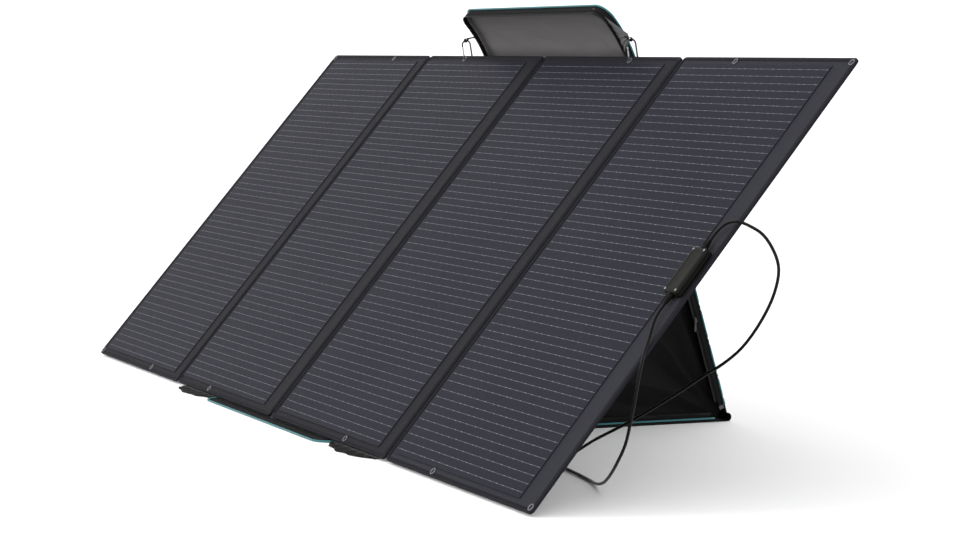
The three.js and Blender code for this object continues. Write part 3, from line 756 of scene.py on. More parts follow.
# Small shapes that rows are made of; x runs along the row and z away from the surface
def stitchShape(length, width, height):
    shoulders = [(sx * length * 0.3, sy * width / 2, height * 0.7) for sx in (-1, 1) for sy in (-1, 1)]
    verts = [(-length / 2, 0, 0), *shoulders, (length / 2, 0, 0), (0, 0, height), (0, 0, -height * 0.4)]
    faces = [(0, 1, 6), (0, 6, 2), (1, 3, 6), (2, 6, 4), (3, 5, 6), (4, 6, 5), (0, 7, 1), (0, 2, 7), (1, 7, 3),
             (2, 4, 7), (3, 7, 5), (4, 5, 7)]
    return meshObject("stitchShape", verts, faces, threadFinish)


def blockShape(name, x, y, z, finish):
    verts = [(sx * x / 2, sy * y / 2, sz * z / 2) for sx in (-1, 1) for sy in (-1, 1) for sz in (-1, 1)]
    faces = [(0, 1, 3, 2), (4, 6, 7, 5), (0, 4, 5, 1), (2, 3, 7, 6), (0, 2, 6, 4), (1, 5, 7, 3)]
    return meshObject(name, verts, faces, finish, smooth=False)


stitch = stitchShape(0.0034, 0.0009, 0.0006)
tooth = blockShape("toothShape", 0.0019, 0.0034, 0.0022, toothPlastic)
print("row shapes made")

# Panels
cell = {"pitchX": 0.1706, "pitchY": 0.1696, "columns": 3, "rows": 6, "size": 0.166, "face": 0.0016,
        "cut": 0.0052, "thick": 0.00008, "busbars": 9, "busbarWidth": 0.0009, "busbarThick": 0.00007, "pads": 6,
        "padLong": 0.0035, "padThick": 0.00006}
sheetTop = 0.0015


def panelMatrix(x, up, out):
    turn = Matrix((Vector((1, 0, 0)), slopeUp, slopeOut)).transposed().to_4x4()
    return Matrix.Translation(panelPoint(x, up, out)) @ turn


def onPanel(piece, k, x, up, out, slot):
    piece.data.transform(panelMatrix(x, up, out))
    return dressed(piece, panelBody[k], slot)


# Cells: thin tiles with clipped corners
def cellTile():
    cut, thick = cell["cut"], cell["thick"]
    wide, tall = (cell["pitchX"] - cell["face"] / 4) / 2, (cell["pitchY"] - cell["face"] / 4) / 2
    rim = [(wide, tall - cut), (wide - cut, tall), (-wide + cut, tall), (-wide, tall - cut)]
    rim += [(-x, -y) for x, y in rim]
    verts = [(x, y, 0) for x, y in rim] + [(x, y, thick) for x, y in rim]
    faces = [tuple(range(8, 16)), tuple(reversed(range(8)))]
    faces += [(i, (i + 1) % 8, 8 + (i + 1) % 8, 8 + i) for i in range(8)]
    return verts, faces


def makeCells(k):
    low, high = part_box("cell_sheet_" + k)
    centreX = (low.x + high.x) / 2
    centreUp = panelLength / 2
    tileVerts, tileFaces = cellTile()
    verts, faces = [], []
    for column in range(cell["columns"]):
        for row in range(cell["rows"]):
            x = (column - (cell["columns"] - 1) / 2) * cell["pitchX"]
            up = (row - (cell["rows"] - 1) / 2) * cell["pitchY"]
            base = len(verts)
            verts += [(x + vx, up + vy, vz) for vx, vy, vz in tileVerts]
            faces += [tuple(base + i for i in face) for face in tileFaces]
    tiles = meshObject("solar_cells_" + k, verts, faces, cellFace, smooth=False)
    onPanel(tiles, k, centreX, centreUp, sheetTop, "cell_laminate")
    busbarPitch = cell["size"] / cell["busbars"]
    lowest = sheetTop + cell["thick"] + cell["busbarThick"] / 2
    for name, finish, sizeX, sizeY, sizeZ, perCell, jitter, out in (
            ("busbars_", busbarMetal, cell["pitchX"] - 0.0008, cell["busbarWidth"], cell["busbarThick"],
             1, 0.0, lowest),
            ("solder_pads_", solderMetal, cell["padLong"], cell["busbarWidth"] * 1.15, cell["padThick"],
             cell["pads"], 0.009, lowest + cell["busbarThick"] / 2)):
        rowPieces = []
        for row in range(cell["rows"]):
            up = centreUp + (row - (cell["rows"] - 1) / 2) * cell["pitchY"]
            strips = gridCopies(name + k, finish, {
                "Columns": cell["columns"] * perCell, "Rows": cell["busbars"],
                "Wide": cell["pitchX"] * (cell["columns"] - 1 / perCell),
                "Tall": busbarPitch * (cell["busbars"] - 1), "Size X": sizeX, "Size Y": sizeY, "Size Z": sizeZ,
                "Jitter": jitter, "Seed": int(k) * 10 + row})
            strips.data.transform(Matrix.Translation((0, up - centreUp, 0)))
            rowPieces.append(strips)
        onPanel(joinPieces(name + k, rowPieces), k, centreX, centreUp, out, "cell_laminate")


def roundedPath(x0, y0, x1, y1, radius, steps=6):
    path = []
    for cx, cy, start in ((x1 - radius, y0 + radius, -90), (x1 - radius, y1 - radius, 0),
                          (x0 + radius, y1 - radius, 90), (x0 + radius, y0 + radius, 180)):
        for i in range(steps + 1):
            a = math.radians(start + 90 * i / steps)
            path.append((cx + radius * math.cos(a), cy + radius * math.sin(a)))
    return path


# Folded binding round a panel's edge: a thin channel over both faces, with a row of stitches
binding = {"reach": 0.009, "thick": 0.0005, "radius": 0.010, "stitchPitch": 0.0046}


def makeBinding(k):
    x0, x1 = panelSides[k]
    path = [panelPoint(x, up, 0) for x, up in roundedPath(x0, 0, x1, panelLength, binding["radius"])]
    reach, thick, deep = binding["reach"], binding["thick"], boardThickness
    verts, uvs = [], []
    inner = [(x, up) for x, up in roundedPath(x0 + reach, reach, x1 - reach, panelLength - reach, 0.004)]
    outer = [(x, up) for x, up in roundedPath(x0, 0, x1, panelLength, binding["radius"])]
    edge = [(x, up) for x, up in roundedPath(x0 - thick, -thick, x1 + thick, panelLength + thick,
                                            binding["radius"])]
    rings = [(inner, 0.00008), (inner, thick), (outer, thick), (edge, 0.0), (edge, -deep),
             (outer, -deep - thick), (inner, -deep - thick), (inner, -deep - 0.00008)]
    run = 0.0
    for i in range(len(path)):
        run += (path[i] - path[i - 1]).length if i else 0
        for r, (ring, out) in enumerate(rings):
            verts.append(panelPoint(*ring[i], out))
            uvs.append((run, r * 0.004))
    count, size = len(path), len(rings)
    faces = [(i * size + r, ((i + 1) % count) * size + r, ((i + 1) % count) * size + r + 1, i * size + r + 1)
             for i in range(count) for r in range(size - 1)]
    made = meshObject("panel_binding_" + k, verts, [tuple(reversed(f)) for f in faces], bindingCloth, uvs)
    dressed(made, panelBody[k], "panel_cloth")
    middle = 0.0062
    line = [panelPoint(x, up, thick + 0.0001)
            for x, up in roundedPath(x0 + middle, middle, x1 - middle, panelLength - middle, 0.006)]
    stitches = alongPath("binding_stitches_" + k, [*line, line[0]], stitch, binding["stitchPitch"],
                         threadFinish, tuple(slopeOut))
    dressed(stitches, panelBody[k], "panel_cloth")


# Cloth fold between two panels: a shallow gutter that dips between the boards
fold = {"reach": 0.013, "dip": 0.0026, "lift": 0.0007, "thick": 0.0006, "short": 0.012, "blendReach": 0.0045,
        "stitchInset": 0.002, "stitchLift": 0.0013, "stitchEnd": 0.004}
foldBodies = {1: ("panel_1", "panel_2"), 2: ("panel_2", "panel_3"), 3: ("panel_3", "panel_4")}


def makeFold(i):
    centre = foldX[i - 1]

    def place(u, v):
        across = (v - 0.5) * 2
        up = fold["short"] + u * (panelLength - 2 * fold["short"])
        dip = max(0.0, 1 - (abs(across) / 0.36) ** 2)
        ripple = noise.noise(Vector((across * 2, up * 22, i * 7.3))) * 0.0005
        out = fold["lift"] - (fold["dip"] + fold["lift"]) * dip ** 0.6 + ripple * (0.3 + dip)
        return panelPoint(centre + across * fold["reach"], up, out), (across * fold["reach"], up)

    made = gridPiece("panel_fold_%d" % i, 260, 20, place, foldCloth, fold["thick"])
    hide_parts("fold_strip_%d" % i)
    reach = fold["blendReach"]
    start, end = panelPoint(centre - reach, 0, 0), panelPoint(centre + reach, 0, 0)
    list(foldBodies[i])
    tuple(start)
    tuple(end)
    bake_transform(made)
    for side, body in zip((-1, 1), foldBodies[i]):
        x = centre + side * (fold["reach"] - fold["stitchInset"])
        ends = (fold["short"] + fold["stitchEnd"], panelLength - fold["short"] - fold["stitchEnd"])
        line = [panelPoint(x, up, fold["stitchLift"]) for up in ends]
        stitches = alongPath("fold_stitches_%d_%s" % (i, body), line, stitch, binding["stitchPitch"],
                             threadFinish, tuple(slopeOut))
        dressed(stitches, body, "fold_cloth")


# Eyelets: rolled metal rims, one mesh for each panel
eyelet = {"bore": 0.0046, "rim": 0.0076, "roll": 0.0009}


def makeEyelets(k):
    bore, rim, roll = eyelet["bore"], eyelet["rim"], eyelet["roll"]
    front, back = 0.0011, -boardThickness - 0.0011
    profile = [(bore, back + 0.0004), (bore + 0.0005, back - 0.0002), (rim - 0.0008, back),
               (rim, back + 0.0005),
               (rim - 0.0004, back + 0.0008), (bore + 0.0006, back + 0.0008), (bore + 0.0006, front - 0.0008),
               (rim - 0.0006, front - 0.0008), (rim, front - 0.0004), (rim - 0.0007, front + 0.0003),
               (bore + 0.0012, front + roll * 0.6), (bore + 0.0003, front + 0.0002), (bore, front - 0.0004),
               (bore, back + 0.0004)]
    names = [n for n in frame["record"]["behaviour"]["bodies"][panelBody[k]] if n.startswith("eyelet")]
    rings = []
    for name in names:
        low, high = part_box(name)
        middle = (low + high) / 2
        centre = middle + slopeOut * (boardThickness / 2)
        rings.append(turned(name + "_rim", centre, slopeOut, profile, eyeletMetal, 32))
    made = joinPieces("eyelet_rims_" + k, rings)
    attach(made, panelBody[k])
    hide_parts(*names)


for k in panelNames:
    makeCells(k)
    makeBinding(k)
    makeEyelets(k)
for i in (1, 2, 3):
    makeFold(i)
print("panels made")

# Finishes for the frame's own pieces that stay. Panel 4's board takes a lighter copy of the panel cloth: painted
# light, for the brighter light that board catches
kept = {"panel_board_1": panelCloth, "panel_board_2": panelCloth, "panel_board_3": panelCloth,
        "panel_board_4": panelClothPaintedLighter, "cell_sheet_1": backSheet, "cell_sheet_2": backSheet,
        "cell_sheet_3": backSheet, "cell_sheet_4": backSheet, "diode_board": circuitBoard}
for name, finish in kept.items():
    mesh = nodes[name].data
    mesh.materials.clear()
    mesh.materials.append(finish)


# Junction box: rings of a rounded outline, each inset and raised
box = {"x0": 1.1245, "x1": 1.1705, "up0": 0.482, "up1": 0.586, "radius": 0.006,
       "tray": ((0.0, 0.0003), (0.0, 0.0078), (0.0012, 0.0082), (0.0012, 0.0092), (0.0, 0.0096),
                (0.0004, 0.0103)),
       "cover": ((0.0006, 0.0106), (0.0, 0.0112), (0.0, 0.0148), (0.0006, 0.0160), (0.0022, 0.0171),
                 (0.0042, 0.0176), (0.0085, 0.0176), (0.0092, 0.0170), (0.0100, 0.0168))}


def ringStack(name, rings, finish):
    verts, uvs, size = [], [], 0
    for inset, out in rings:
        ring = roundedPath(box["x0"] + inset, box["up0"] + inset, box["x1"] - inset, box["up1"] - inset,
                           max(0.0015, box["radius"] - inset * 0.7), 8)
        size = len(ring)
        verts += [panelPoint(x, up, out) for x, up in ring]
    faces = [(r * size + i, r * size + (i + 1) % size, (r + 1) * size + (i + 1) % size, (r + 1) * size + i)
             for r in range(len(rings) - 1) for i in range(size)]
    faces += [tuple(reversed(range(size))), tuple(range((len(rings) - 1) * size, len(rings) * size))]
    made = meshObject(name, verts, faces, finish)
    made.data.shade_smooth()
    modified(made, "BEVEL", width=0.0004, segments=2, limit_method="ANGLE", angle_limit=math.radians(40))
    return settled(made)


dressed(ringStack("junction_box_base", box["tray"], boxPlastic), "panel_4", "black_plastic",
        "junction_box_tray")
dressed(ringStack("junction_box_lid", box["cover"], boxLid), "panel_4", "black_plastic", "junction_box_cover")
screwProfile = [(0, 0.0171), (0.0009, 0.0171), (0.0010, 0.0175), (0.0021, 0.0176), (0.0024, 0.0174),
                (0.0024, 0.0168), (0, 0.0168)]
screws = []
for i, x in enumerate((box["x0"] + 0.0058, box["x1"] - 0.0058)):
    for j, up in enumerate((box["up0"] + 0.0058, box["up1"] - 0.0058)):
        screws.append(turned("screw_%d%d" % (i, j), panelPoint(x, up, 0.0003), slopeOut,
                             list(reversed(screwProfile)), screwMetal, 16))
dressed(joinPieces("junction_box_screws", screws), "panel_4", "black_plastic")

# Glands: a nut and a ribbed sleeve that narrows onto the lead
gland = {"nut": 0.007, "nutLong": 0.0055, "ribs": 7, "from": 0.0056, "to": 0.0040, "long": 0.022}


def makeGland(end, up, direction):
    nut, sleeve = gland["nut"], gland["nutLong"] + 0.0006
    profile = [(0, 0), (nut - 0.0005, 0), (nut, 0.0005), (nut, gland["nutLong"] - 0.0006),
               (nut - 0.0008, gland["nutLong"]), (gland["from"], gland["nutLong"] + 0.0002)]
    pitch = (gland["long"] - sleeve) / gland["ribs"]
    for k in range(gland["ribs"]):
        r = gland["from"] + (gland["to"] - gland["from"]) * k / (gland["ribs"] - 1)
        start = sleeve + k * pitch
        profile += [(r, start), (r, start + pitch * 0.55), (r - 0.0008, start + pitch * 0.66),
                    (r - 0.0008, start + pitch * 0.95)]
    profile += [(gland["to"] - 0.0006, gland["long"]), (0, gland["long"])]
    made = turned("cable_gland_" + end, panelPoint(1.1475, up, 0.0088), direction, profile, boxPlastic, 36)
    return dressed(made, "panel_4", "black_plastic", "gland_" + end)


makeGland("upper", box["up1"] + 0.0003, slopeUp)
makeGland("lower", box["up0"] - 0.0003, -slopeUp)
print("junction box made")

# Carrying case. Both halves: a skin with walls round it, a grey lining, zip tapes and piping
case = {"toothPitch": 0.0028, "corner": 0.034, "wall": 0.0025, "skin": 0.0015, "pipe": 0.002,
        "pipeOut": 0.0023, "tape": 0.0012,
        "tapeIn": 0.32815, "boardSide": 0.31}


def ripple(point, scale, seed):
    return noise.noise(Vector(point) * scale + Vector((seed, seed * 0.37, -seed)))


# Half-width at a distance before the rounded end of a half
def widthNear(side, before, radius):
    if before >= radius:
        return side
    return side - radius + math.sqrt(max(0.0, radius ** 2 - (radius - before) ** 2))


# The outline of a half, up one side, round the end and down the other, as (x, along)
def halfOutline(side, end, start, radius, steps=12, spacing=0.012):
    path = []
    count = max(2, int((end - radius - start) / spacing))
    for i in range(count):
        path.append((side, start + (end - radius - start) * i / count))
    for i in range(steps + 1):
        a = math.pi / 2 * i / steps
        path.append((side - radius + radius * math.cos(a), end - radius + radius * math.sin(a)))
    flat = side - radius
    across = max(2, int(2 * flat / spacing))
    for i in range(1, across):
        path.append((flat - 2 * flat * i / across, end))
    for i in range(steps + 1):
        a = math.pi / 2 * (1 + i / steps)
        path.append((-side + radius + radius * math.cos(a), end - radius + radius * math.sin(a)))
    for i in range(1, count + 1):
        path.append((-side, end - radius - (end - radius - start) * i / count))
    return path


# Base: along runs from the back towards the front edge, so the outline is shared with the upright half
baseLong = caseBack - caseFront


def baseAt(x, along, height):
    return Vector((x, caseBack - along, height))


def baseWallAt(along):
    y = caseBack - along
    rise = easeStep(y, 0.016, 0.060)
    return 0.0022 + (baseWall - 0.0022) * rise * (1 - easeStep(y, 0.958, 0.985))


def stripAlong(name, outline, place, columns, finish, thickness=0.0, offset=-1.0):
    run = [0.0]
    for (x0, a0), (x1, a1) in zip(outline, outline[1:]):
        run.append(run[-1] + math.hypot(x1 - x0, a1 - a0))
    verts, uvs = [], []
    for i, (x, along) in enumerate(outline):
        for j in range(columns + 1):
            v = j / columns
            verts.append(place(x, along, v, run[i]))
            uvs.append((run[i], v * 0.02))
    made = meshObject(name, verts, gridFaces(len(outline) - 1, columns), finish, uvs)
    if thickness:
        modified(made, "SOLIDIFY", thickness=thickness, offset=offset, use_even_offset=False)
        closedOutward(settled(made))
    return made


def skinPiece(name, length, place, start, radius, finish, thickness, rows=90, columns=70):
    def at(u, v):
        along = start + (length - start) * u ** 0.8
        half = widthNear(caseSide, length - along, radius)
        x = (v * 2 - 1) * half
        return place(x, along), (x, along)

    return gridPiece(name, rows, columns, at, finish, thickness, 1.0)


def baseSkinAt(x, along):
    return baseAt(x, along, 0.0017)


baseSkin = skinPiece("base_skin", baseLong, baseSkinAt, 0.0, case["corner"], caseCloth, case["skin"])
baseOutline = halfOutline(caseSide, baseLong, 0.0, case["corner"])
baseWalls = stripAlong("base_wall", baseOutline, lambda x, along, v, run: baseAt(
    x, along, 0.0006 + v * (baseWallAt(along) - 0.0006)) + Vector((
        0.0003 * ripple((x, along, v), 30, 3.0) * (1 if abs(x) > 0.3 else 0), 0, 0)),
    5, caseCloth, case["wall"], 1.0)
dressed(joinPieces("base_case", [baseSkin, baseWalls]), "base", "case_cloth", "base_shell")


# Linings over the stiff boards, slightly crowned, with soft bunched wrinkles. Where a half has deep walls
# the lining turns up onto them by the given rise.
def liningPiece(name, side, start, end, low, thick, place, crown, wrinkle, seed, body, replaced, rise=0.0,
                corner=0.022, under=-1.0):
    turnSide, turnEnd = (0.05, 0.04) if rise else (0.0, 0.0)

    def at(u, v):
        along = start + (end - start) * min(1.0, u / (1 - turnEnd))
        half = widthNear(side, end - along + 0.001, corner)
        across = min(1.0, max(0.0, (v - turnSide) / (1 - 2 * turnSide)))
        x = (across * 2 - 1) * half
        up = max(1 - min(v, 1 - v) / turnSide, (u - 1 + turnEnd) / turnEnd, 0.0) if rise else 0.0
        edge = easeStep(14 * min(u, 1 - turnEnd - u, across, 1 - across), 0, 1)
        fold = abs(ripple((x * 1.0 + along * 1.5, along * 0.55 - x * 0.25, 0.0), 15, seed)) ** 0.8
        folds = wrinkle * fold * edge * (0.35 + 0.65 * easeStep(x + along * 0.25, -0.1, 0.4))
        height = low + thick + crown * edge + folds + rise * min(1.0, up)
        return place(x, along, height), (x, along + up * rise)

    made = gridPiece(name, 160, 120, at, liningCloth, thick, under)
    return dressed(made, body, "board_grey", replaced)


liningPiece("base_lining", case["boardSide"], 0.026, baseLong - 0.034, 0.0018, 0.0022, baseAt, 0.0003, 0.0003,
            2.0, "base", "base_stiffener", under=1.0)

# Base piping and zip tapes
pipeSide = caseSide + case["pipeOut"]


def basePipeHeight(along):
    y = caseBack - along
    return 0.0023 + 0.0067 * easeStep(y, 0.02, 0.10)


baseEnd = caseFront - case["pipeOut"]
pipePath = [Vector((x, caseBack - along, basePipeHeight(along)))
            for x, along in halfOutline(pipeSide, caseBack - baseEnd, 0.036, case["corner"] + case["pipeOut"])]
dressed(swept("base_cord_edge", pipePath, roundSection(case["pipe"], 10), tealCloth, side=(0, 0, 1)),
        "base", "teal_piping", "base_piping")


def tapePiece(name, outline, place, body, replaced):
    strip = stripAlong(name + "_cloth", outline, place, 6, zipCloth, case["tape"], 1.0)
    line = [place(x, along, 0.93, 0.0) for x, along in outline]
    teeth = alongPath(name + "_teeth", line, tooth, case["toothPitch"], toothPlastic, (1, 0, 0))
    return dressed(joinPieces(name, [strip, teeth]), body, "zip_tape", *replaced)


for side, sign in sides.items():
    tapeLine = [(sign * (case["tapeIn"] + case["tape"]), 0.046 + 0.874 * i / 74) for i in range(75)]
    if sign < 0:
        tapeLine.reverse()
    tapePiece("base_zip_" + side, tapeLine, lambda x, along, v, run: baseAt(
        x + 0.0004 * ripple((along, v, 0), 12, 5.0), along, 0.0123 + 0.008 * v), "base",
        ["base_zip_tape_" + side])
print("base half made")


# Upright half
def uprightSkinAt(x, along):
    return uprightPoint(x, along, 0.0001)


uprightStart = 0.0095
uprightSkin = skinPiece("upright_skin", uprightTop, uprightSkinAt, uprightStart, case["corner"], caseCloth,
                        case["skin"], rows=110)
uprightOutline = halfOutline(caseSide, uprightTop, 0.034, case["corner"])


def uprightWallAt(x, along, v, run):
    bulge = 0.0007 * ripple((x, along, v * 0.4), 26, 4.0) * (1 - abs(2 * v - 1)) * 2
    inward = Vector((-bulge if x > 0 else bulge, 0, 0)) if abs(x) > 0.31 else Vector((0, 0, 0))
    return uprightPoint(x, along, 0.0006 + v * (upright["wall"] - 0.0006)) + inward


uprightWalls = stripAlong("upright_wall", uprightOutline, uprightWallAt, 8, caseCloth, case["wall"], 1.0)
dressed(joinPieces("upright_case", [uprightSkin, uprightWalls]), "upright", "case_cloth", "upright_shell")
liningPiece("upright_lining", caseSide - 0.0045, 0.024, uprightTop - 0.0045, 0.0018, 0.0025, uprightPoint,
            0.0035, 0.0052, 6.0, "upright", "upright_stiffener", 0.0110, 0.038)

pipePath = [uprightPoint(x, along, case["pipe"] + 0.0001) for x, along in halfOutline(
    pipeSide, uprightTop + case["pipeOut"], 0.034, case["corner"] + case["pipeOut"])]
dressed(swept("upright_cord_edge", pipePath, roundSection(case["pipe"], 10), tealCloth, side=tuple(uprightUp)),
        "upright", "teal_piping", "upright_piping")

tapeEdge = case["tapeIn"] + case["tape"]
tapePiece("upright_zip", halfOutline(tapeEdge, uprightTop - 0.0006, 0.048, case["corner"]),
          lambda x, along, v, run: uprightPoint(x, along, 0.0163 + 0.008 * v), "upright", ["upright_zip_tape"])

print("upright half made")

# Spine: one band of cloth round the hinge line
spineBand = {"radius": 0.009, "side": 0.328, "from": -90, "to": 105}


def spineAt(u, v):
    x = (v * 2 - 1) * spineBand["side"]
    flat = 0.08
    if u < flat:
        y, z = spine.y - 0.0037 * (1 - u / flat), spine.z - spineBand["radius"] + 0.0001
        return Vector((x, y, z)), (x, u * 0.04)
    a = math.radians(spineBand["from"] + (spineBand["to"] - spineBand["from"]) * (u - flat) / (1 - flat))
    r = spineBand["radius"] - 0.0001 - 0.0005 * (0.5 + 0.5 * ripple((x, a * 0.02, 0), 40, 8.0))
    return Vector((x, spine.y + r * math.cos(a), spine.z + r * math.sin(a))), (x, u * 0.04)


spinePiece = gridPiece("spine_cloth", 26, 120, spineAt, caseCloth, 0.0014, -1.0)
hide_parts("spine_band")
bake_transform(spinePiece)

# Gussets: pleated cloth between the two halves, fanned about the spine
gusset = {"x": 0.3145, "flat": (0.43, 0.42), "low": 0.0022, "pleats": 3.4, "depth": 0.008,
          "thick": 0.0007, "rows": 110, "columns": 70, "blendReach": 0.1,
          "reach": ((-1.0, 0.430), (16.0, 0.302), (33.0, 0.282), (49.2, 0.2985), (70.2, 0.428))}


def gussetReach(angle):
    points = gusset["reach"]
    for (a0, r0), (a1, r1) in zip(points, points[1:]):
        if angle <= a1:
            return r0 + (r1 - r0) * easeStep(angle, a0, a1)
    return points[-1][1]


def makeGusset(side, sign):
    first, last = gusset["reach"][0][0], gusset["reach"][-1][0]

    def at(u, v):
        angle = first + (last - first) * u
        reach = 0.018 + (gussetReach(angle) - 0.018) * v
        a = math.radians(angle)
        y, z = spine.y - reach * math.cos(a), spine.z + reach * math.sin(a)
        z = max(z, gusset["low"])
        middle = math.sin(math.pi * u) ** 0.6
        wander = 0.35 * ripple((reach * 3, u, 0), 2, 9.0 + sign)
        pleat = abs(((u * gusset["pleats"] + wander) % 1.0) * 2 - 1) * 2 - 1
        crease = ripple((y, z, sign), 14, 4.0) * 0.5
        x = gusset["x"] + (gusset["depth"] * pleat * easeStep(v, 0.0, 0.7) + 0.004 * crease) * middle
        return Vector((sign * x, y, z)), (y, z)

    made = gridPiece("side_gusset_" + side, gusset["rows"], gusset["columns"], at, gussetCloth)
    area = sum(face.area for face in made.data.polygons)
    modified(made, "SOLIDIFY", thickness=gusset["thick"], offset=0.0)
    settled(made)
    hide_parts("gusset_" + side)
    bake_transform(made)
    print("gusset", side, "flat area %.4f m2" % area)


for side, sign in sides.items():
    makeGusset(side, sign)

# Flaps of loose cloth at the front corners
flap = {"flat": (0.1, 0.215), "root": 0.3346, "reach": 0.213, "thick": 0.0011,
        "front": ((0.0, -0.0080), (0.2, -0.0240), (0.45, -0.0350), (0.7, -0.0320), (0.9, -0.0180),
                  (1.0, -0.0040)),
        "back": ((0.0, 0.0580), (0.2, 0.0330), (0.45, 0.0210), (0.7, 0.0165), (0.9, 0.0150), (1.0, 0.0120))}


def alongLine(points, t):
    for (a0, b0), (a1, b1) in zip(points, points[1:]):
        if t <= a1:
            return b0 + (b1 - b0) * (t - a0) / (a1 - a0)
    return points[-1][1]


def makeFlap(side, sign):
    def at(u, v):
        front, back = alongLine(flap["front"], u), alongLine(flap["back"], u)
        y = front + (back - front) * v + 0.0025 * math.sin(u * 21 + sign) * (1 - v)
        x = flap["root"] + flap["reach"] * u
        lift = 0.0022 * abs(math.sin(u * 17 + v * 1.5 + sign)) ** 1.5 * (1 - 0.5 * v)
        return Vector((sign * x, y, 0.0008 + lift)), (x, y)

    made = gridPiece("corner_cloth_" + side, 90, 24, at, gussetCloth)
    area = sum(face.area for face in made.data.polygons)
    modified(made, "SOLIDIFY", thickness=flap["thick"], offset=0.0)
    settled(made)
    dressed(made, "base", "gusset_cloth", "corner_flap_" + side)
    print("corner flap", side, "flat area %.4f m2" % area)


for side, sign in sides.items():
    makeFlap(side, sign)
print("cloth pieces made")

# Carrying handles: stitched webbing arches
handle = {"long": 0.150, "foot": 0.022, "rise": 0.034, "band": 0.011, "thick": 0.003, "centre": 0.5}


def handlePath():
    half, foot, rise, thick = handle["long"] / 2, handle["foot"], handle["rise"], handle["thick"]
    points = [(-half, thick / 2), (-half + foot * 0.5, thick / 2), (-half + foot, thick * 0.75),
              (-half + foot + 0.004, rise * 0.45), (-half + foot + 0.014, rise * 0.8),
              (-0.018, rise - thick * 0.6), (0, rise - thick / 2)]
    points += [(-a, b) for a, b in reversed(points[:-1])]
    return points


def makeHandle(name, place, out, body, replaced):
    path = throughPoints([place(along, rise) for along, rise in handlePath()], 6)
    band = swept(name, path, bandSection(handle["band"], handle["thick"] * 0.8), webbingCloth, side=out)
    dressed(band, body, "webbing", replaced)
    ends = []
    for sign in (-1, 1):
        for edge in (-1, 1):
            start = place(sign * (handle["long"] / 2 - 0.003), handle["thick"] * 0.93)
            stop = place(sign * (handle["long"] / 2 - handle["foot"] + 0.004), handle["thick"] * 0.93)
            shift = Vector(out) * (edge * handle["band"] * 0.33)
            away = (place(0, 1) - place(0, 0)).normalized()
            ends.append(alongPath("%s_row" % name, [start + shift, stop + shift], stitch, 0.004, threadFinish,
                                  tuple(away)))
    dressed(joinPieces(name + "_stitches", ends), body, "webbing")


baseHandleHeight = 0.0124 + handle["band"] / 2
makeHandle("base_webbing_handle", lambda along, rise: Vector((
    -caseSide - 0.0003 - rise, handle["centre"] + along, baseHandleHeight)), (0, 0, 1), "base", "base_handle")
makeHandle("upright_webbing_handle", lambda along, rise: uprightPoint(
    -caseSide - 0.0003 - rise, handle["centre"] + along, 0.0045 + handle["band"] / 2),
    tuple((uprightPoint(0, 0.5, 0) - uprightPoint(0, 0.5, 0.01)).normalized()), "upright", "upright_handle")

# Carabiners, their gates and the webbing loops that hold them
ring = {"round": 0.011, "straight": 0.030, "wire": 0.002, "lean": math.radians(12), "gateFrom": 0.0039,
        "gateTo": 0.0266, "low": 0.003, "high": 0.027, "band": 0.006, "eye": 0.0043, "top": 0.041}


def ringPlane(side):
    pivot = Vector(jointAt["gate_swing_" + side]["pos_m"])
    lean = ring["lean"]
    upward = Vector((0, -math.sin(lean), math.cos(lean)))
    across = Vector((0, math.cos(lean), math.sin(lean)))
    low = pivot - upward * ring["gateFrom"] + across * ring["round"]
    return lambda along, over: low + upward * along + across * over


def makeCarabiner(side, sign):
    at = ringPlane(side)
    r, straight = ring["round"], ring["straight"]
    turn = [math.pi * i / 20 for i in range(21)]
    path = [at(ring["low"], -r)]
    path += [at(-r * math.sin(a), -r * math.cos(a)) for a in turn]
    path += [at(straight * f, r) for f in (0.25, 0.5, 0.75)]
    path += [at(straight + r * math.sin(a), r * math.cos(a)) for a in turn]
    path += [at(ring["high"], -r)]
    wire = swept("carabiner_ring_" + side, path, roundSection(ring["wire"], 14), blackWire, side=(1, 0, 0))
    dressed(wire, "carabiner_" + side, "dark_wire", "carabiner_" + side)
    low, high = at(ring["gateFrom"], -r), at(ring["gateTo"], -r)
    long = (high - low).length
    profile = [(0, 0), (0.0012, 0.0001), (0.0018, 0.0008), (0.0018, 0.0040), (0.0015, 0.0046),
               (0.0015, long - 0.0052), (0.0018, long - 0.0046), (0.0018, long - 0.0006), (0.0012, long),
               (0, long)]
    made = turned("carabiner_gate_" + side, low, high - low, profile, screwMetal, 18)
    dressed(made, "gate_" + side, "dark_wire", "gate_" + side)
    top = at(ring["top"], 0)
    x = sign * abs(low.x)
    eye = ring["eye"]
    ends = (sign * (caseSide + 0.0004), sign * (caseSide + 0.02), x - sign * 0.014)
    line = [Vector((across, top.y, top.z + over)) for across, over in zip(ends, (0.0088, 0.0080, 0.0056))]
    for i in range(-4, 5):
        a = math.radians(62) * -i / 2.2
        line.append(Vector((x + sign * eye * math.cos(a), top.y, top.z + eye * math.sin(a))))
    line += [Vector((across, top.y, top.z + over))
             for across, over in zip(ends[::-1], (0.0036, 0.0062, 0.0072))]
    strap = swept("webbing_loop_" + side, throughPoints(line, 4), bandSection(ring["band"], 0.0011),
                  webbingCloth, side=(0, 1, 0))
    dressed(strap, "upright", "webbing", "top_loop_" + side)


# Lining cloth that bunches from the upright half's rim out to the webbing loop
tuck = {"from": 0.885, "to": 0.985, "deep": 0.0172, "side": 0.3262, "pleats": 5, "fold": 0.0026, "thick": 0.0009,
        "flat": (0.075, 0.1)}


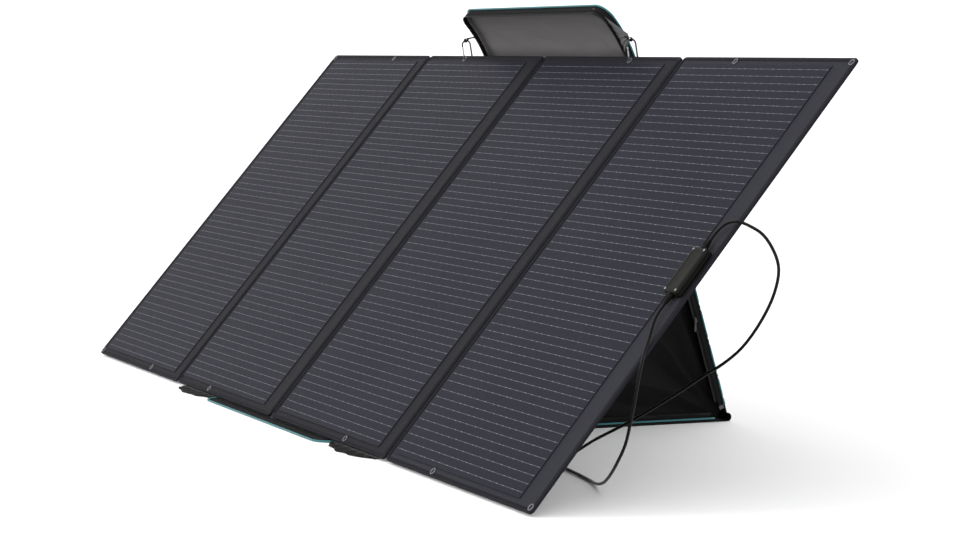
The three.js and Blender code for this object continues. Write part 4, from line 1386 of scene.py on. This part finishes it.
def makeTuck(side, sign):
    top = ringPlane(side)(ring["top"], 0)
    apex = Vector((top.x - sign * 0.007, top.y, top.z + 0.0072))

    def at(u, v):
        up = tuck["from"] + (tuck["to"] - tuck["from"]) * u
        root = uprightPoint(sign * tuck["side"], up, tuck["deep"])
        reach = 0.93 * v
        point = root.lerp(apex + Vector((0, 0, 0.004 * (u - 0.5))), reach)
        sag = Vector((0, -0.55, -0.83)) * (0.006 * math.sin(math.pi * v) * (1 - u))
        pleat = math.sin(2 * math.pi * tuck["pleats"] * u + 2.4 * ripple((u, v, sign), 2.2, 3.0))
        over = uprightPoint(0, up, 0.01) - uprightPoint(0, up, 0.0)
        swell = tuck["fold"] * pleat * (0.25 + 0.75 * v) * (1 - 0.5 * v)
        return point + sag + over.normalized() * swell, (u, v)

    made = gridPiece("side_tuck_" + side, 60, 30, at, liningCloth)
    modified(made, "SOLIDIFY", thickness=tuck["thick"], offset=0.0)
    settled(made)
    dressed(made, "upright", "board_grey")


for side, sign in sides.items():
    makeCarabiner(side, sign)
makeTuck("right", 1)
print("carabiners made")

# Zip sliders and pulls
slider = {"long": 0.016, "thick": 0.005, "pullWide": 0.006, "pullLong": 0.026, "pullThick": 0.0012}


def makeSlider(side, sign):
    low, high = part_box("zip_slider_" + side)
    centre = (low + high) / 2
    inner = -sign * slider["thick"] / 2
    across = uprightUp.cross(Vector((1, 0, 0)))
    rings = []
    for depth, grow in ((0.0, 0.72), (0.0006, 0.9), (0.0020, 0.94), (0.0030, 0.86), (0.0042, 0.7),
                        (0.0048, 0.5)):
        ringPoints = []
        for k in range(20):
            a = 2 * math.pi * k / 20
            waist = 1 - 0.22 * math.sin(a) ** 2 * (1 if math.sin(a) > 0 else 0.3)
            along = 0.0078 * grow * math.copysign(abs(math.sin(a)) ** 0.7, math.sin(a))
            over = 0.0048 * grow * waist * math.copysign(abs(math.cos(a)) ** 0.7, math.cos(a))
            ringPoints.append(centre + Vector((inner + sign * depth, 0, 0)) + uprightUp * along + across * over)
        rings.append(ringPoints)
    verts = [p for points in rings for p in points]
    faces = ringFaces(len(rings), 20)
    faces += [tuple(reversed(range(20))), tuple(range(100, 120))]
    made = meshObject("slider_body_" + side, verts, faces, blackWire)
    modified(made, "BEVEL", width=0.0003, segments=2, limit_method="ANGLE", angle_limit=math.radians(35))
    settled(made)
    closedOutward(made)
    dressed(made, "zip_slider_" + side, "dark_wire", "zip_slider_" + side)
    pivot = Vector(jointAt["zip_pull_swing_" + side]["pos_m"])
    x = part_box("zip_pull_" + side)[0].x + slider["pullThick"] / 2
    line = [(0.0022, 0.0014), (0.0, 0.0019), (-0.004, 0.0016), (-0.009, 0.0024), (-0.015, 0.0029),
            (-0.022, 0.0029), (-0.0252, 0.0020)]
    half = slider["pullThick"] / 2
    verts, size = [], 2 * len(line)
    for depth, inset in ((-half, 0.0003), (-half * 0.5, 0.0), (half * 0.5, 0.0), (half, 0.0003)):
        outline = [(z, w - inset) for z, w in line] + [(z, -w + inset) for z, w in reversed(line)]
        verts += [Vector((x + depth, pivot.y + w, pivot.z + z)) for z, w in outline]
    faces = ringFaces(4, size)
    faces += [tuple(reversed(range(size))), tuple(range(3 * size, 4 * size))]
    made = meshObject("pull_tab_" + side, verts, faces, blackWire)
    modified(made, "BEVEL", width=0.0002, segments=2, limit_method="ANGLE", angle_limit=math.radians(35))
    settled(made)
    closedOutward(made)
    dressed(made, "zip_pull_" + side, "dark_wire", "zip_pull_" + side)


for side, sign in sides.items():
    makeSlider(side, sign)
print("zips made")

for shape in (stitch, tooth):
    bpy.data.objects.remove(shape)

# Floor, lights and sky
studio = {"world": 1.3, "keyPower": 180, "keySize": 3.0, "fillPower": 30}


def makeStudio():
    size = 300
    floor = meshObject("floor", [(-size, -size, 0), (size, -size, 0), (size, size, 0), (-size, size, 0)],
                       [(0, 1, 2, 3)], floorFinish)
    floor.location.z = -0.0002
    world = bpy.data.worlds.new("studioSky")
    world.use_nodes = True
    sky = world.node_tree.nodes["Background"]
    sky.inputs["Color"].default_value = (1, 1, 1, 1)
    sky.inputs["Strength"].default_value = studio["world"]
    bpy.context.scene.world = world
    for name, place, target, power, size in (
            ("keyLight", (-1.6, -4.6, 4.2), (0.2, 0.4, 0.3), studio["keyPower"], studio["keySize"]),
            ("fillLight", (4.5, -0.5, 3.6), (0.5, 0.5, 0.3), studio["fillPower"], 2.5)):
        light = bpy.data.lights.new(name, "AREA")
        light.energy = power
        light.size = size
        lamp = bpy.data.objects.new(name, light)
        bpy.context.scene.collection.objects.link(lamp)
        lamp.location = place
        lamp.rotation_euler = (Vector(target) - Vector(place)).to_track_quat("-Z", "Y").to_euler()
    bpy.context.scene.view_settings.view_transform = "Standard"


makeStudio()
print("studio made")
